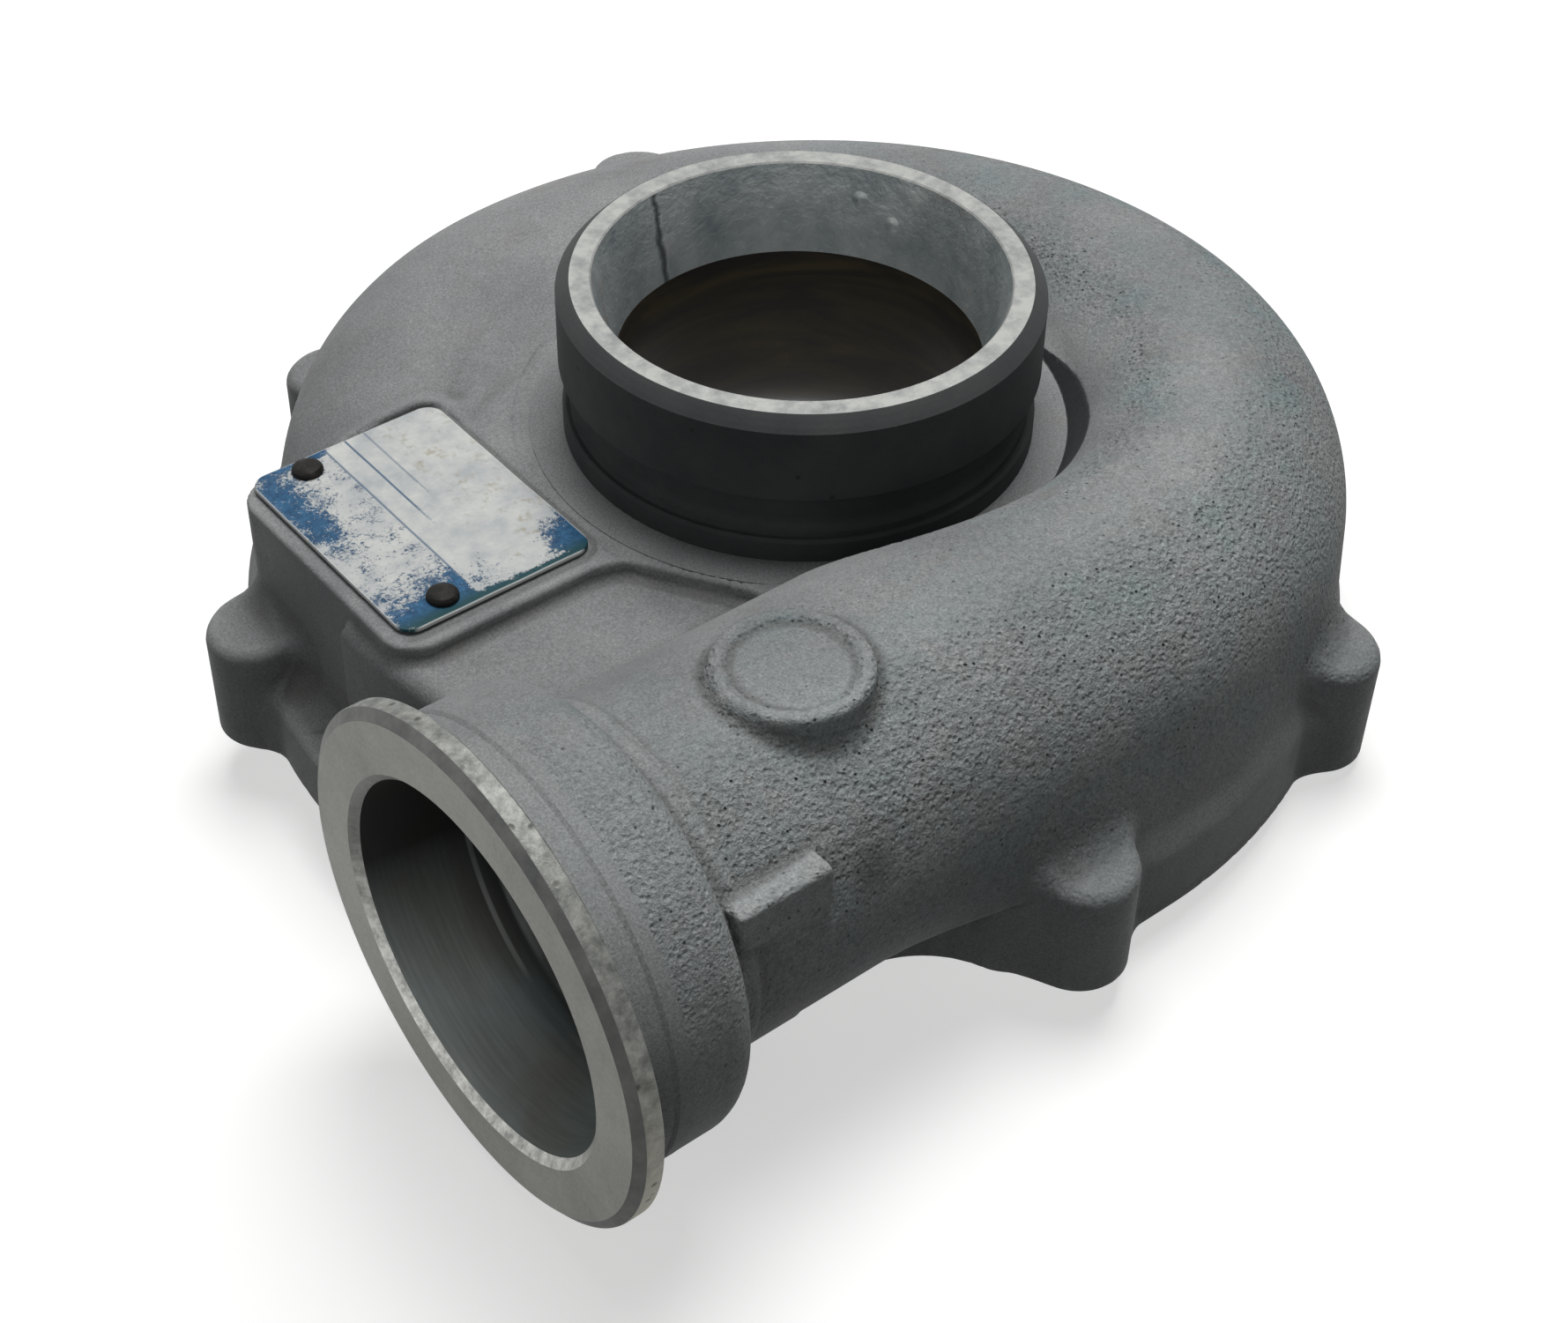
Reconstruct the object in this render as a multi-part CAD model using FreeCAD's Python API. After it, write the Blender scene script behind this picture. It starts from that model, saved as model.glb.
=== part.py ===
"""Turbocharger compressor housing: one hollow aluminium casting with its riveted plate.

Millimetres. Z is the wheel axis, z = 0 the face that bolts to the bearing housing's back plate,
the inlet points up and the outlet points along -X.
"""
import FreeCAD, Part
import math
import os

V = FreeCAD.Vector
UP = V(0, 0, 1)
os.makedirs("parts", exist_ok=True)

# Inlet collar and the machined ring below it (radius, height)
COLLAR_R = 45.0
MOUTH_R = 38.4
MOUTH_Z = 76.6
MOUTH_CHAMFER = 2.3
COLLAR_FOOT_Z = 59.6
NECK_R = 41.6
BEAD_R = 44.5
BEAD_Z = 50.2
THROAT_R = 34.4
THROAT_Z = 58.9
LEDGE_R = 51.5
DECK_Z = 45.4

# Base
FLANGE_R = 107.0
FLANGE_H = 12.0
FOOT_R = 107.2
SHOULDER_R = 97.0
SHOULDER_Z = 21.0
REGISTER_R = 88.0
REGISTER_DEPTH = 4.0
SEAT_R = 78.0
DIFFUSER_Z = 13.0
WHEEL_R = 49.0
CONTOUR_TOP_Z = 33.0

# Scroll sections: angle, centre radius, centre height, outside radius, passage radius
SCROLL = [(165, 77.0, 22.0, 18.5, 9.0), (145, 79.0, 24.3, 21.0, 13.0),
          (125, 79.3, 26.0, 22.8, 16.0), (106, 80.0, 26.5, 23.2, 17.5),
          (90, 80.0, 27.0, 23.8, 18.3), (75, 80.2, 27.2, 24.2, 18.8), (50, 80.0, 28.0, 25.0, 19.5),
          (20, 79.5, 29.0, 26.5, 20.8), (-5, 78.0, 30.0, 28.0, 22.0), (-30, 75.5, 31.5, 30.0, 22.8),
          (-55, 72.5, 33.0, 32.0, 23.5), (-72, 70.5, 33.2, 32.4, 23.3), (-90, 69.5, 33.2, 32.0, 23.0)]
SECTION_ANGLES = [165, 145, 120, 95, 70, 45, 20, -5, -30, -52, -72, -90]
WALL = 5.5
PASSAGE_FLOOR_Z = 8.5
TUBE_BORE_R = 26.5

# Outlet
OUTLET_Y = -69.5
OUTLET_Z = 33.2
OUTLET_FACE_X = -122.3
TUBE_R = 32.0
OUTLET_RIM_R = 45.5
OUTLET_BORE_R = 34.2

# Plate pad and plate
PAD = (-97.0, -50.0, -13.6, 44.0)
VALLEY_Z = 42.0
PLATE_SIZE = (40.0, 53.0, 0.8)
PLATE_CENTRE = (-74.0, 17.0)
RIVETS = [(-83.6, 39.6), (-83.4, -5.0)]

# Bolt bosses
BOSSES = [(161.8, 24.0), (116.4, 22.0), (70.6, 37.0), (25.0, 24.0), (-18.1, 24.0), (-60.8, 25.0),
          (-101.4, 24.0)]
BOSS_CIRCLE_R = 106.5
BOSS_R = 9.5
BOLT_R = 3.4
BOLT_DEPTH = 17.0


def polar(radius, angle, z=0.0):
    """Point at a radius and an angle in degrees about the wheel axis."""
    a = math.radians(angle)
    return V(radius * math.cos(a), radius * math.sin(a), z)


def outlet_point(depth, radius):
    """Point above the outlet axis, at a depth behind the outlet's face."""
    return V(OUTLET_FACE_X + depth, OUTLET_Y, OUTLET_Z + radius)


def turned(points, centre, axis):
    """Solid of revolution of a closed polygon; a triple (a, mid, b) in the list is an arc."""
    edges = []
    last = points[0]
    for item in points[1:] + [points[0]]:
        if isinstance(item, tuple):
            edges.append(Part.Arc(last, item[0], item[1]).toShape())
            last = item[1]
        elif (item - last).Length > 1e-6:
            edges.append(Part.makeLine(last, item))
            last = item
    face = Part.Face(Part.Wire(edges))
    return face.revolve(centre, axis, 360)


def rz(radius, z):
    """Point of a profile about the wheel axis."""
    return V(radius, 0, z)


def scroll_at(angle):
    """Centre radius, centre height, outside and passage radius, between the table's rows."""
    for first, second in zip(SCROLL, SCROLL[1:]):
        if first[0] >= angle >= second[0]:
            t = (first[0] - angle) / (first[0] - second[0])
            return [a + (b - a) * t for a, b in zip(first[1:], second[1:])]
    return list(SCROLL[-1][1:])


def scroll_section(angle):
    """Outside wire of the scroll: round on top, with drafted walls down to just below the base."""
    rc, zc, r, _ = scroll_at(angle)
    foot_in = polar(rc - r, angle, -1)
    foot_out = polar(FOOT_R, angle, -1)
    side_out = polar(rc + r, angle, zc)
    side_in = polar(rc - r, angle, zc)
    crest = polar(rc, angle, zc + r)
    return Part.Wire([Part.makeLine(foot_in, foot_out),
                      Part.makeLine(foot_out, side_out),
                      Part.Arc(side_out, crest, side_in).toShape(),
                      Part.makeLine(side_in, foot_in)])


def passage_section(angle):
    """Inside circle of the scroll, one wall in from the outside and level with the diffuser."""
    rc, _, r, inner = scroll_at(angle)
    centre = polar(rc + r - WALL - inner, angle, PASSAGE_FLOOR_Z + inner)
    return Part.Wire(Part.makeCircle(inner, centre, polar(1, angle - 90)))


def rounded_block(x0, x1, y0, y1, z0, z1, corner):
    """Block with rounded upright edges."""
    block = Part.makeBox(x1 - x0, y1 - y0, z1 - z0, V(x0, y0, z0))
    upright = [e for e in block.Edges if abs(e.Vertexes[0].Z - e.Vertexes[1].Z) > 0.1]
    return block.makeFillet(corner, upright)


def top_edges(shape, z):
    """Edges that lie at height z."""
    return [e for e in shape.Edges if abs(e.BoundBox.ZMin - z) < 1e-4 and abs(e.BoundBox.ZMax - z) < 1e-4]


def build_scroll():
    """Scroll body, its straight run-out and the outlet tube, relieved round the inlet."""
    body = Part.makeLoft([scroll_section(a) for a in SECTION_ANGLES], True, False)
    run_out = Part.Face(scroll_section(-90)).extrude(V(-24, 0, 0))
    tube = Part.makeCylinder(TUBE_R, -8 - OUTLET_FACE_X, V(-5, OUTLET_Y, OUTLET_Z), V(-1, 0, 0))
    relief_axis = V(-2.1, -4.5, 0)
    relief = turned([V(0, 0, DECK_Z), V(47.5, 0, DECK_Z), (V(56.5, 0, 58.0), V(74.0, 0, 65.9)),
                     V(74.0, 0, 100), V(0, 0, 100)], V(0, 0, 0), UP)
    relief.translate(relief_axis)
    below = Part.makeBox(300, 300, 10, V(-150, -150, -10))
    return body.fuse([run_out, tube]).cut([relief, below])


def build_deck():
    """Flat deck round the inlet, the plate pad, the lower valley floor and the base flange."""
    disc = Part.makeCylinder(62, DECK_Z)
    beyond = Part.makeBox(60, 160, DECK_Z, V(50.5, -80, 0))
    beyond.rotate(V(0, 0, 0), UP, -150)
    front = Part.makeBox(160, 120, DECK_Z, V(-80, -120 + PAD[2], 0))
    disc = disc.cut(beyond.common(front))
    pad = rounded_block(*PAD, 0, DECK_Z, 7.0)
    pad = pad.makeChamfer(1.0, top_edges(pad, DECK_Z))
    valley = Part.makeCylinder(99, VALLEY_Z).common(Part.makeBox(99, 75, VALLEY_Z, V(-99, -70, 0)))
    valley = valley.makeChamfer(2.5, [e for e in top_edges(valley, VALLEY_Z) if e.Length < 100
                                      and e.BoundBox.XMax < -60])
    flange = turned([rz(0, 0), rz(FLANGE_R, 0), rz(FLANGE_R, FLANGE_H),
                     (rz(101.5, 14.8), rz(SHOULDER_R, SHOULDER_Z)), rz(0, SHOULDER_Z)],
                    V(0, 0, 0), UP)
    flange = flange.common(Part.makeBox(110, 200, 40, V(-110, -107, 0)))
    scallop = Part.makeCylinder(21.3, 60, V(-56, -106, -5))
    return disc.fuse([pad, valley, flange]), scallop


def build_boss(angle, height):
    """Bolt boss with a rounded head, joined to the wall behind it."""
    neck = Part.makeBox(12, 2 * BOSS_R, height, V(BOSS_CIRCLE_R - 12, -BOSS_R, 0))
    boss = Part.makeCylinder(BOSS_R, height, V(BOSS_CIRCLE_R, 0, 0)).fuse(neck).removeSplitter()
    boss = boss.makeFillet(4.5, [e for e in top_edges(boss, height)
                                 if e.BoundBox.XMax > BOSS_CIRCLE_R - 11.9])
    boss.rotate(V(0, 0, 0), UP, angle)
    return boss


def build_inlet():
    """Collar, neck, bead and the ledge ring, with the mouth cone left for the bore."""
    rim_r = COLLAR_R - MOUTH_CHAMFER
    return turned([rz(0, 30), rz(BEAD_R, 30), rz(BEAD_R, BEAD_Z - 0.6), rz(BEAD_R - 0.6, BEAD_Z),
                   rz(43.2, BEAD_Z), rz(43.0, BEAD_Z + 0.8), (rz(42.0, 51.9), rz(NECK_R, 53.6)),
                   rz(NECK_R, COLLAR_FOOT_Z), rz(COLLAR_R, COLLAR_FOOT_Z),
                   rz(COLLAR_R, MOUTH_Z - MOUTH_CHAMFER), rz(rim_r, MOUTH_Z), rz(0, MOUTH_Z)],
                  V(0, 0, 0), UP)


def build_outlet():
    """Band-clamp flange, stepped neck and collar round the end of the tube."""
    p = outlet_point
    return turned([p(0, 0), p(0, 43.7), p(1.4, OUTLET_RIM_R), p(4.6, OUTLET_RIM_R), p(5.9, 41.2),
                   p(6.4, 39.7), p(11.4, 39.7), p(11.7, 40.2), p(21.8, 40.2),
                   (p(26.0, 38.4), p(28.0, 34.6)), (p(29.4, 32.7), p(32.0, 31.9)), p(32.0, 0)],
                  outlet_point(0, 0), V(1, 0, 0))


def build_lug():
    """Square lug on the outer flank of the outlet tube."""
    return rounded_block(-90.0, -73.5, OUTLET_Y - 30.3, OUTLET_Y - 15, 41.0, 51.0, 1.2)


def build_cast_pad():
    """Round cast pad with a raised rim on the tube's crest, bare."""
    x, y = -60.5, -72.5
    disc = Part.makeCylinder(13.5, 14.0, V(x, y, 52.8))
    disc = disc.makeChamfer(0.8, top_edges(disc, 66.8))
    return disc.cut(Part.makeCylinder(11.2, 2.0, V(x, y, 66.0)))


def build_bores():
    """Everything that is machined or cored out of the casting."""
    rise = CONTOUR_TOP_Z - DIFFUSER_Z
    contour_r = ((WHEEL_R - THROAT_R) ** 2 + rise ** 2) / (2 * (WHEEL_R - THROAT_R))
    half = math.asin(rise / contour_r) / 2
    contour_mid = rz(THROAT_R + contour_r * (1 - math.cos(half)), CONTOUR_TOP_Z - contour_r * math.sin(half))
    throat = turned([rz(0, -1), rz(REGISTER_R, -1), rz(REGISTER_R, REGISTER_DEPTH),
                     rz(SEAT_R, REGISTER_DEPTH), rz(SEAT_R, DIFFUSER_Z), rz(WHEEL_R, DIFFUSER_Z),
                     (contour_mid, rz(THROAT_R, CONTOUR_TOP_Z)), rz(THROAT_R, THROAT_Z),
                     rz(MOUTH_R, MOUTH_Z), rz(MOUTH_R, MOUTH_Z + 1), rz(0, MOUTH_Z + 1)],
                    V(0, 0, 0), UP)
    passage = Part.makeLoft([passage_section(a) for a in SECTION_ANGLES], True, False)
    rc, _, r, inner = scroll_at(-90)
    start = V(0, -(rc + r - WALL - inner), PASSAGE_FLOOR_Z + inner)
    run = Part.makeCylinder(inner, 60, start, V(-1, 0, 0))
    p = outlet_point
    mouth = turned([p(-1, 0), p(-1, OUTLET_BORE_R), p(0, OUTLET_BORE_R), p(1.6, 32.6),
                    p(26.0, 30.2), p(26.0, 28.4), p(31.0, 28.0), p(31.0, TUBE_BORE_R),
                    p(84.0, TUBE_BORE_R), p(98.0, 18.0), p(98.0, 0)],
                   outlet_point(0, 0), V(1, 0, 0))
    tools = [passage.fuse(run), throat, mouth]
    for angle, _ in BOSSES:
        tools.append(Part.makeCylinder(BOLT_R, BOLT_DEPTH + 1, polar(BOSS_CIRCLE_R, angle, -1)))
    for x, y in RIVETS:
        tools.append(Part.makeCylinder(1.35, 6.5, V(x, y, DECK_Z - 6)))
    return tools


def build_housing():
    """The whole casting."""
    scroll = build_scroll()
    deck, scallop = build_deck()
    body = scroll.fuse(deck).cut(scallop.cut(Part.makeCylinder(TUBE_R, 140, V(0, OUTLET_Y, OUTLET_Z),
                                                               V(-1, 0, 0))))
    ledge = turned([rz(0, DECK_Z + 0.2), rz(LEDGE_R, DECK_Z + 0.2), rz(55.6, 53.0), rz(55.6, 60),
                    rz(0, 60)], V(0, 0, 0), UP)
    body = body.cut(ledge)
    ring = Part.makeCylinder(LEDGE_R, 0.2, V(0, 0, DECK_Z))
    bosses = [build_boss(angle, height) for angle, height in BOSSES]
    body = body.fuse([ring, build_inlet(), build_outlet(), build_lug(), build_cast_pad()] + bosses)
    for tool in build_bores():
        body = body.cut(tool)
    return body.removeSplitter()


def build_plate():
    """Thin plate with rounded corners and two rivet holes."""
    dx, dy, dz = PLATE_SIZE
    cx, cy = PLATE_CENTRE
    plate = rounded_block(cx - dx / 2, cx + dx / 2, cy - dy / 2, cy + dy / 2, DECK_Z, DECK_Z + dz, 3.6)
    for x, y in RIVETS:
        plate = plate.cut(Part.makeCylinder(1.5, 3, V(x, y, DECK_Z - 1)))
    return plate


def build_rivet(x, y):
    """Drive rivet: shank and low domed head."""
    top = DECK_Z + PLATE_SIZE[2]
    rim = Part.makeCylinder(2.95, 0.7, V(x, y, top))
    dome = Part.makeCone(2.95, 1.7, 0.9, V(x, y, top + 0.7))
    return rim.fuse([dome, Part.makeCylinder(1.25, 6.3, V(x, y, top - 6.3))])


build_housing().exportStep("parts/housing.step")
build_plate().exportStep("parts/name_plate.step")
Part.makeCompound([build_rivet(x, y) for x, y in RIVETS]).exportStep("parts/plate_rivets.step")
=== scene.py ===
"""Looks of the compressor housing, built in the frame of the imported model.

The casting is the zero surface of a distance function in millimetres, so that its walls, bosses and
tube run into each other with a foundry's fillets while the turned faces keep their sharp edges.
"""
import math
from itertools import combinations

import bmesh
import bpy
import numpy as np
from mathutils import Matrix


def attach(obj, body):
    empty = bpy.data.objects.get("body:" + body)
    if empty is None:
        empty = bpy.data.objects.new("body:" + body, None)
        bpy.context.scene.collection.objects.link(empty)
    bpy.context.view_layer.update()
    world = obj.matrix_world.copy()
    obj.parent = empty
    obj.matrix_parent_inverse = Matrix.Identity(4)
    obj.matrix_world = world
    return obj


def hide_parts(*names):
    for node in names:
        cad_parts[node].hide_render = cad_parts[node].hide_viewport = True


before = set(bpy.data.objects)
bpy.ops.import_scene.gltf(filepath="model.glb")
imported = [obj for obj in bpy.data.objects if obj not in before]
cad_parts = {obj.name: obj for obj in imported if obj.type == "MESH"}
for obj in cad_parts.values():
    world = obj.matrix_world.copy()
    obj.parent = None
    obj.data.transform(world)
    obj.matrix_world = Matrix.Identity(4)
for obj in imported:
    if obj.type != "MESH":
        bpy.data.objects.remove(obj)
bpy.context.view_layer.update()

MM = 0.001

# Inlet collar, bead, deck and throat, in millimetres about the wheel axis
COLLAR_R = 45.0
MOUTH_R = 38.4
MOUTH_Z = 76.6
MOUTH_CHAMFER = 2.3
COLLAR_FOOT_Z = 59.6
NECK_R = 41.6
BEAD_R = 44.5
BEAD_Z = 50.2
THROAT_R = 34.4
THROAT_Z = 58.9
LEDGE_R = 51.0
DECK_Z = 45.4
LEDGE_Z = DECK_Z + 0.2

# Base
FLANGE_R = 107.0
FLANGE_H = 12.4
FOOT_R = 107.2
REGISTER_R = 88.0
REGISTER_DEPTH = 4.0
SEAT_R = 78.0
DIFFUSER_Z = 13.0
WHEEL_R = 49.0
CONTOUR_TOP_Z = 33.0

# Scroll sections: angle, centre radius, centre height, outside radius, reach inwards, height over the
# centre, passage radius
SCROLL = np.array([
    (165, 77.0, 22.0, 18.5, 18.5, 19.0, 9.0), (145, 79.0, 24.3, 21.0, 24.0, 21.6, 13.0),
    (125, 79.3, 26.0, 22.8, 32.0, 25.4, 16.0), (106, 80.0, 26.5, 23.2, 38.0, 25.2, 17.5),
    (90, 80.0, 27.0, 23.8, 36.0, 24.0, 18.3), (75, 80.2, 27.2, 24.2, 30.0, 23.6, 18.8),
    (50, 80.0, 28.0, 25.0, 25.5, 24.2, 19.5), (20, 79.5, 29.0, 26.5, 26.5, 25.9, 20.8),
    (-5, 78.0, 30.0, 28.0, 28.0, 27.8, 22.0), (-30, 75.5, 31.5, 30.0, 30.0, 30.0, 22.8),
    (-55, 72.5, 33.0, 32.0, 32.0, 32.0, 23.5), (-72, 70.5, 33.2, 32.4, 32.4, 32.4, 23.3),
    (-90, 69.5, 33.2, 32.0, 32.0, 32.0, 23.0)])
SCROLL_START = 165.0
WALL = 5.5
PASSAGE_FLOOR_Z = 8.5

# Outlet tube and its band-clamp flange
OUTLET_Y = -69.5
OUTLET_Z = 33.2
OUTLET_FACE_X = -122.3
TUBE_BORE_R = 26.5
OUTLET_RIM_R = 45.5
OUTLET_BORE_R = 34.2

# Plate pad, plate and rivets
PAD = (-97.0, -50.0, -13.6, 44.0)
VALLEY_Z = 42.0
PLATE_SIZE = (40.0, 53.0, 0.8)
PLATE_CENTRE = (-74.0, 17.0)
PLATE_CORNER = 3.6
RIVETS = [(-83.6, 39.6), (-83.4, -5.0)]
RIVET_R = 2.95

# Bolt bosses: angle and height
BOSSES = [(161.8, 24.0), (116.4, 22.0), (70.6, 37.0), (25.0, 24.0), (-18.1, 24.0), (-60.8, 25.0),
          (-101.4, 24.0)]
BOSS_CIRCLE_R = 106.5
BOSS_R = 9.5
BOSS_NECK = 18
BOLT_R = 3.4
BOLT_DEPTH = 17.0

# Cast details: the round bare pad on the tube's crest and the lug on its flank
CAST_PAD = (-60.5, -72.5, 13.5, 66.8)
LUG = (-92.4, -74.3, OUTLET_Y - 31.0, OUTLET_Y - 15, 34.0, 52.3)

# Ink left on the plate: x, y, reach across and along, how full; rules: x, strength, lower end
INK_PATCHES = [(-17.5, 17.0, 5.0, 12.0, 0.2), (18.0, -22.0, 5.0, 8.0, 0.36), (-1.0, -20.0, 6.0, 4.5, 0.16),
               (-12.0, -24.0, 6.0, 3.6, 0.2), (3.0, -26.3, 12.0, 1.4, 0.36), (-16.0, 4.0, 3.0, 6.0, 0.12),
               (-6.0, 26.0, 9.0, 1.2, 0.25), (19.8, -8.0, 1.0, 9.0, 0.2)]
PRINT_RULES = [(-4.0, 0.75, -15.0), (0.5, 0.9, 6.0), (4.6, 0.5, 12.0)]

# Stain on the flank in metres, mesh of the casting
GRIMY_SPOT = (-0.065, -0.099, 0.045)
GRID_BOX = ((-124.3, -116.7, -14.2), (112.9, 111.9, 80.7))
MOST_TRIANGLES = 190000

# Light, floor and centre of mass
LAMPS = [("softbox", (0.19, 0.17, 1.06), 0.6, 11.8), ("fill", (-0.75, -0.5, 0.6), 0.5, 0.9)]
ROOM_LIGHT = 0.1
FLOOR_HALF = 4000.0
CENTRE_OF_MASS = np.array([4.0, -8.0, 25.0])

# Camera of the photograph, in millimetres in the part's frame
CAMERA_AT = (-256.1, -305.9, 343.4)
CAMERA_FORWARD = (0.4732, 0.5695, -0.6721)
CAMERA_ROLL = math.radians(1.467)
CAMERA_LENS = 59.91


def arc(first, middle, last, count=8):
    """Points along the circle through three points, without the first one."""
    (ax, ay), (bx, by), (cx, cy) = first, middle, last
    d = 2 * (ax * (by - cy) + bx * (cy - ay) + cx * (ay - by))
    a2, b2, c2 = ax * ax + ay * ay, bx * bx + by * by, cx * cx + cy * cy
    ux = (a2 * (by - cy) + b2 * (cy - ay) + c2 * (ay - by)) / d
    uy = (a2 * (cx - bx) + b2 * (ax - cx) + c2 * (bx - ax)) / d
    start, end = math.atan2(ay - uy, ax - ux), math.atan2(cy - uy, cx - ux)
    turn = (end - start + math.pi) % (2 * math.pi) - math.pi
    t = start + turn * np.arange(1, count + 1) / count
    r = math.hypot(ax - ux, ay - uy)
    return [(ux + r * math.cos(a), uy + r * math.sin(a)) for a in t]


CONTOUR_R = ((WHEEL_R - THROAT_R) ** 2 + (CONTOUR_TOP_Z - DIFFUSER_Z) ** 2) / (2 * (WHEEL_R - THROAT_R))
CONTOUR_HALF = math.asin((CONTOUR_TOP_Z - DIFFUSER_Z) / CONTOUR_R) / 2
CONTOUR_MID = (THROAT_R + CONTOUR_R * (1 - math.cos(CONTOUR_HALF)),
               CONTOUR_TOP_Z - CONTOUR_R * math.sin(CONTOUR_HALF))

# Turned faces of the inlet as a closed ring (radius, height), the finish of each of its edges as a place in
# the list that dress() gets, and the room that the casting leaves for it
INLET_RING = [(38.6, 44.0), (LEDGE_R - 0.6, 44.0), (LEDGE_R, 44.6), (LEDGE_R, LEDGE_Z), (BEAD_R, LEDGE_Z),
              (BEAD_R, BEAD_Z - 0.6), (BEAD_R - 0.6, BEAD_Z), (43.2, BEAD_Z), (43.0, BEAD_Z + 0.8),
              *arc((43.0, BEAD_Z + 0.8), (42.0, 51.9), (NECK_R, 53.6), 4),
              (NECK_R, COLLAR_FOOT_Z), (COLLAR_R - 0.3, COLLAR_FOOT_Z), (COLLAR_R, COLLAR_FOOT_Z + 0.3),
              (COLLAR_R, MOUTH_Z - MOUTH_CHAMFER - 0.2), (COLLAR_R - 0.2, MOUTH_Z - MOUTH_CHAMFER),
              (COLLAR_R - MOUTH_CHAMFER, MOUTH_Z - 0.15), (COLLAR_R - MOUTH_CHAMFER - 0.3, MOUTH_Z),
              (MOUTH_R + 0.3, MOUTH_Z), (MOUTH_R, MOUTH_Z - 0.3), (THROAT_R, THROAT_Z),
              (THROAT_R, CONTOUR_TOP_Z),
              *arc((THROAT_R, CONTOUR_TOP_Z), CONTOUR_MID, (WHEEL_R, DIFFUSER_Z), 10),
              (WHEEL_R + 4, DIFFUSER_Z), (WHEEL_R + 4, DIFFUSER_Z + 2), (42.0, 26.0)]
INLET_FINISHES = [5] * 4 + [1] * 15 + [2] * 2 + [3] + [4] * 11 + [0] * 4
GROOVE_R, GROOVE_SLOPE, GROOVE_RISE = LEDGE_R + 0.02, 0.475, 17
THROAT_ROOM = [(0, -5), (REGISTER_R, -5), (REGISTER_R, REGISTER_DEPTH), (SEAT_R, REGISTER_DEPTH),
               (SEAT_R, DIFFUSER_Z), (WHEEL_R + 3, DIFFUSER_Z), (WHEEL_R + 3, DIFFUSER_Z + 1.2),
               (WHEEL_R - 4, 21.0), (THROAT_R + 2.5, CONTOUR_TOP_Z), (THROAT_R + 2.5, 44.0), (GROOVE_R, 44.0),
               (GROOVE_R, LEDGE_Z), (GROOVE_R + GROOVE_SLOPE * GROOVE_RISE, LEDGE_Z + GROOVE_RISE),
               (GROOVE_R + GROOVE_SLOPE * GROOVE_RISE, MOUTH_Z + 5), (0, MOUTH_Z + 5)]

# Turned face, rim and groove of the outlet (depth, radius), the cast collar behind them and the bore's room
OUTLET_RING = [(0.25, OUTLET_BORE_R), (0, OUTLET_BORE_R + 0.25), (0, 43.5), (0.2, 43.8),
               (1.3, OUTLET_RIM_R - 0.1), (1.6, OUTLET_RIM_R), (4.4, OUTLET_RIM_R), (4.8, OUTLET_RIM_R - 0.5),
               (5.9, 41.2), (6.4, 39.8), (10.6, 39.8), (11.4, 40.2), (14.0, 40.25), (14.6, 39.0),
               (14.0, 34.0), (24.0, 33.0), (33.0, 30.0), (33.0, TUBE_BORE_R), (31.0, TUBE_BORE_R),
               (31.0, 28.0), (26.0, 28.4), (26.0, 30.2), (1.4, 33.0)]
OUTLET_FINISHES = [3, 0, 1, 1, 2, 2, 2, 1, 1, 4, 4, 4, 4, 4, 4, 4, 4, 5, 5, 5, 5, 5, 3]
COLLAR_OUTLINE = [(12.6, 0), (12.6, 40.2), (21.8, 40.2),
                  *arc((21.8, 40.2), (26.0, 38.4), (28.0, 34.6)),
                  *arc((28.0, 34.6), (29.4, 32.7), (32.0, 31.9)), (32.0, 0)]
MOUTH_ROOM = [(-5, 0), (-5, 36.0), (12.0, 36.0), (12.0, 33.0), (31.5, 29.3), (32.0, TUBE_BORE_R + 0.6),
              (32.6, TUBE_BORE_R), (84.0, TUBE_BORE_R), (98.0, 18.0), (98.0, 0)]
TURNED_REACH = 8.0

SCROLL_ANGLES = np.arange(-90.0, 166.0)
SMOOTHING = np.exp(-np.arange(-15, 16) ** 2 / 50.0)


def smooth_row(values):
    """A section size at every degree: straight lines between the table's rows, then a running mean."""
    fine = np.interp(SCROLL_ANGLES, SCROLL[::-1, 0], values[::-1])
    slope_low, slope_high = fine[1] - fine[0], fine[-1] - fine[-2]
    low = fine[0] - slope_low * np.arange(15, 0, -1)
    high = fine[-1] + slope_high * np.arange(1, 16)
    return np.convolve(np.concatenate([low, fine, high]), SMOOTHING / SMOOTHING.sum(), "valid")


SCROLL_ROWS = [smooth_row(SCROLL[:, i]) for i in range(1, 7)]

# Cove between the scroll and the deck: centre radius, centre height and radius of its ring, how far the ring
# stands out, and the bell curves that move it with the angle: how far, about which angle and how wide
COVE_RING = (78.4, 32.9, 33.3)
COVE_OUT = 2.5
COVE_BELLS = [(-0.65, -38, 12), (4.9, -99, 22)]

# Cut under the tube by the front boss (x, y, radius, top), edge of the deck (direction, distance, radius)
SCALLOP = (-56, -106, 21.3, 17)
CHORD_ANGLE, CHORD_AT, PLATEAU_R = math.radians(32.8), 51.9, 62


def join(a, b, fillet):
    """Union of two distances: the smaller one, with a circular fillet where their surfaces meet."""
    past = np.hypot(np.maximum(fillet - a, 0), np.maximum(fillet - b, 0))
    return np.maximum(fillet, np.minimum(a, b)) - past


def meet(a, b, radius):
    """Overlap of two distances: the larger one, with the edge where their surfaces meet rounded."""
    past = np.hypot(np.maximum(radius + a, 0), np.maximum(radius + b, 0))
    return np.minimum(-radius, np.maximum(a, b)) + past


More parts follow.
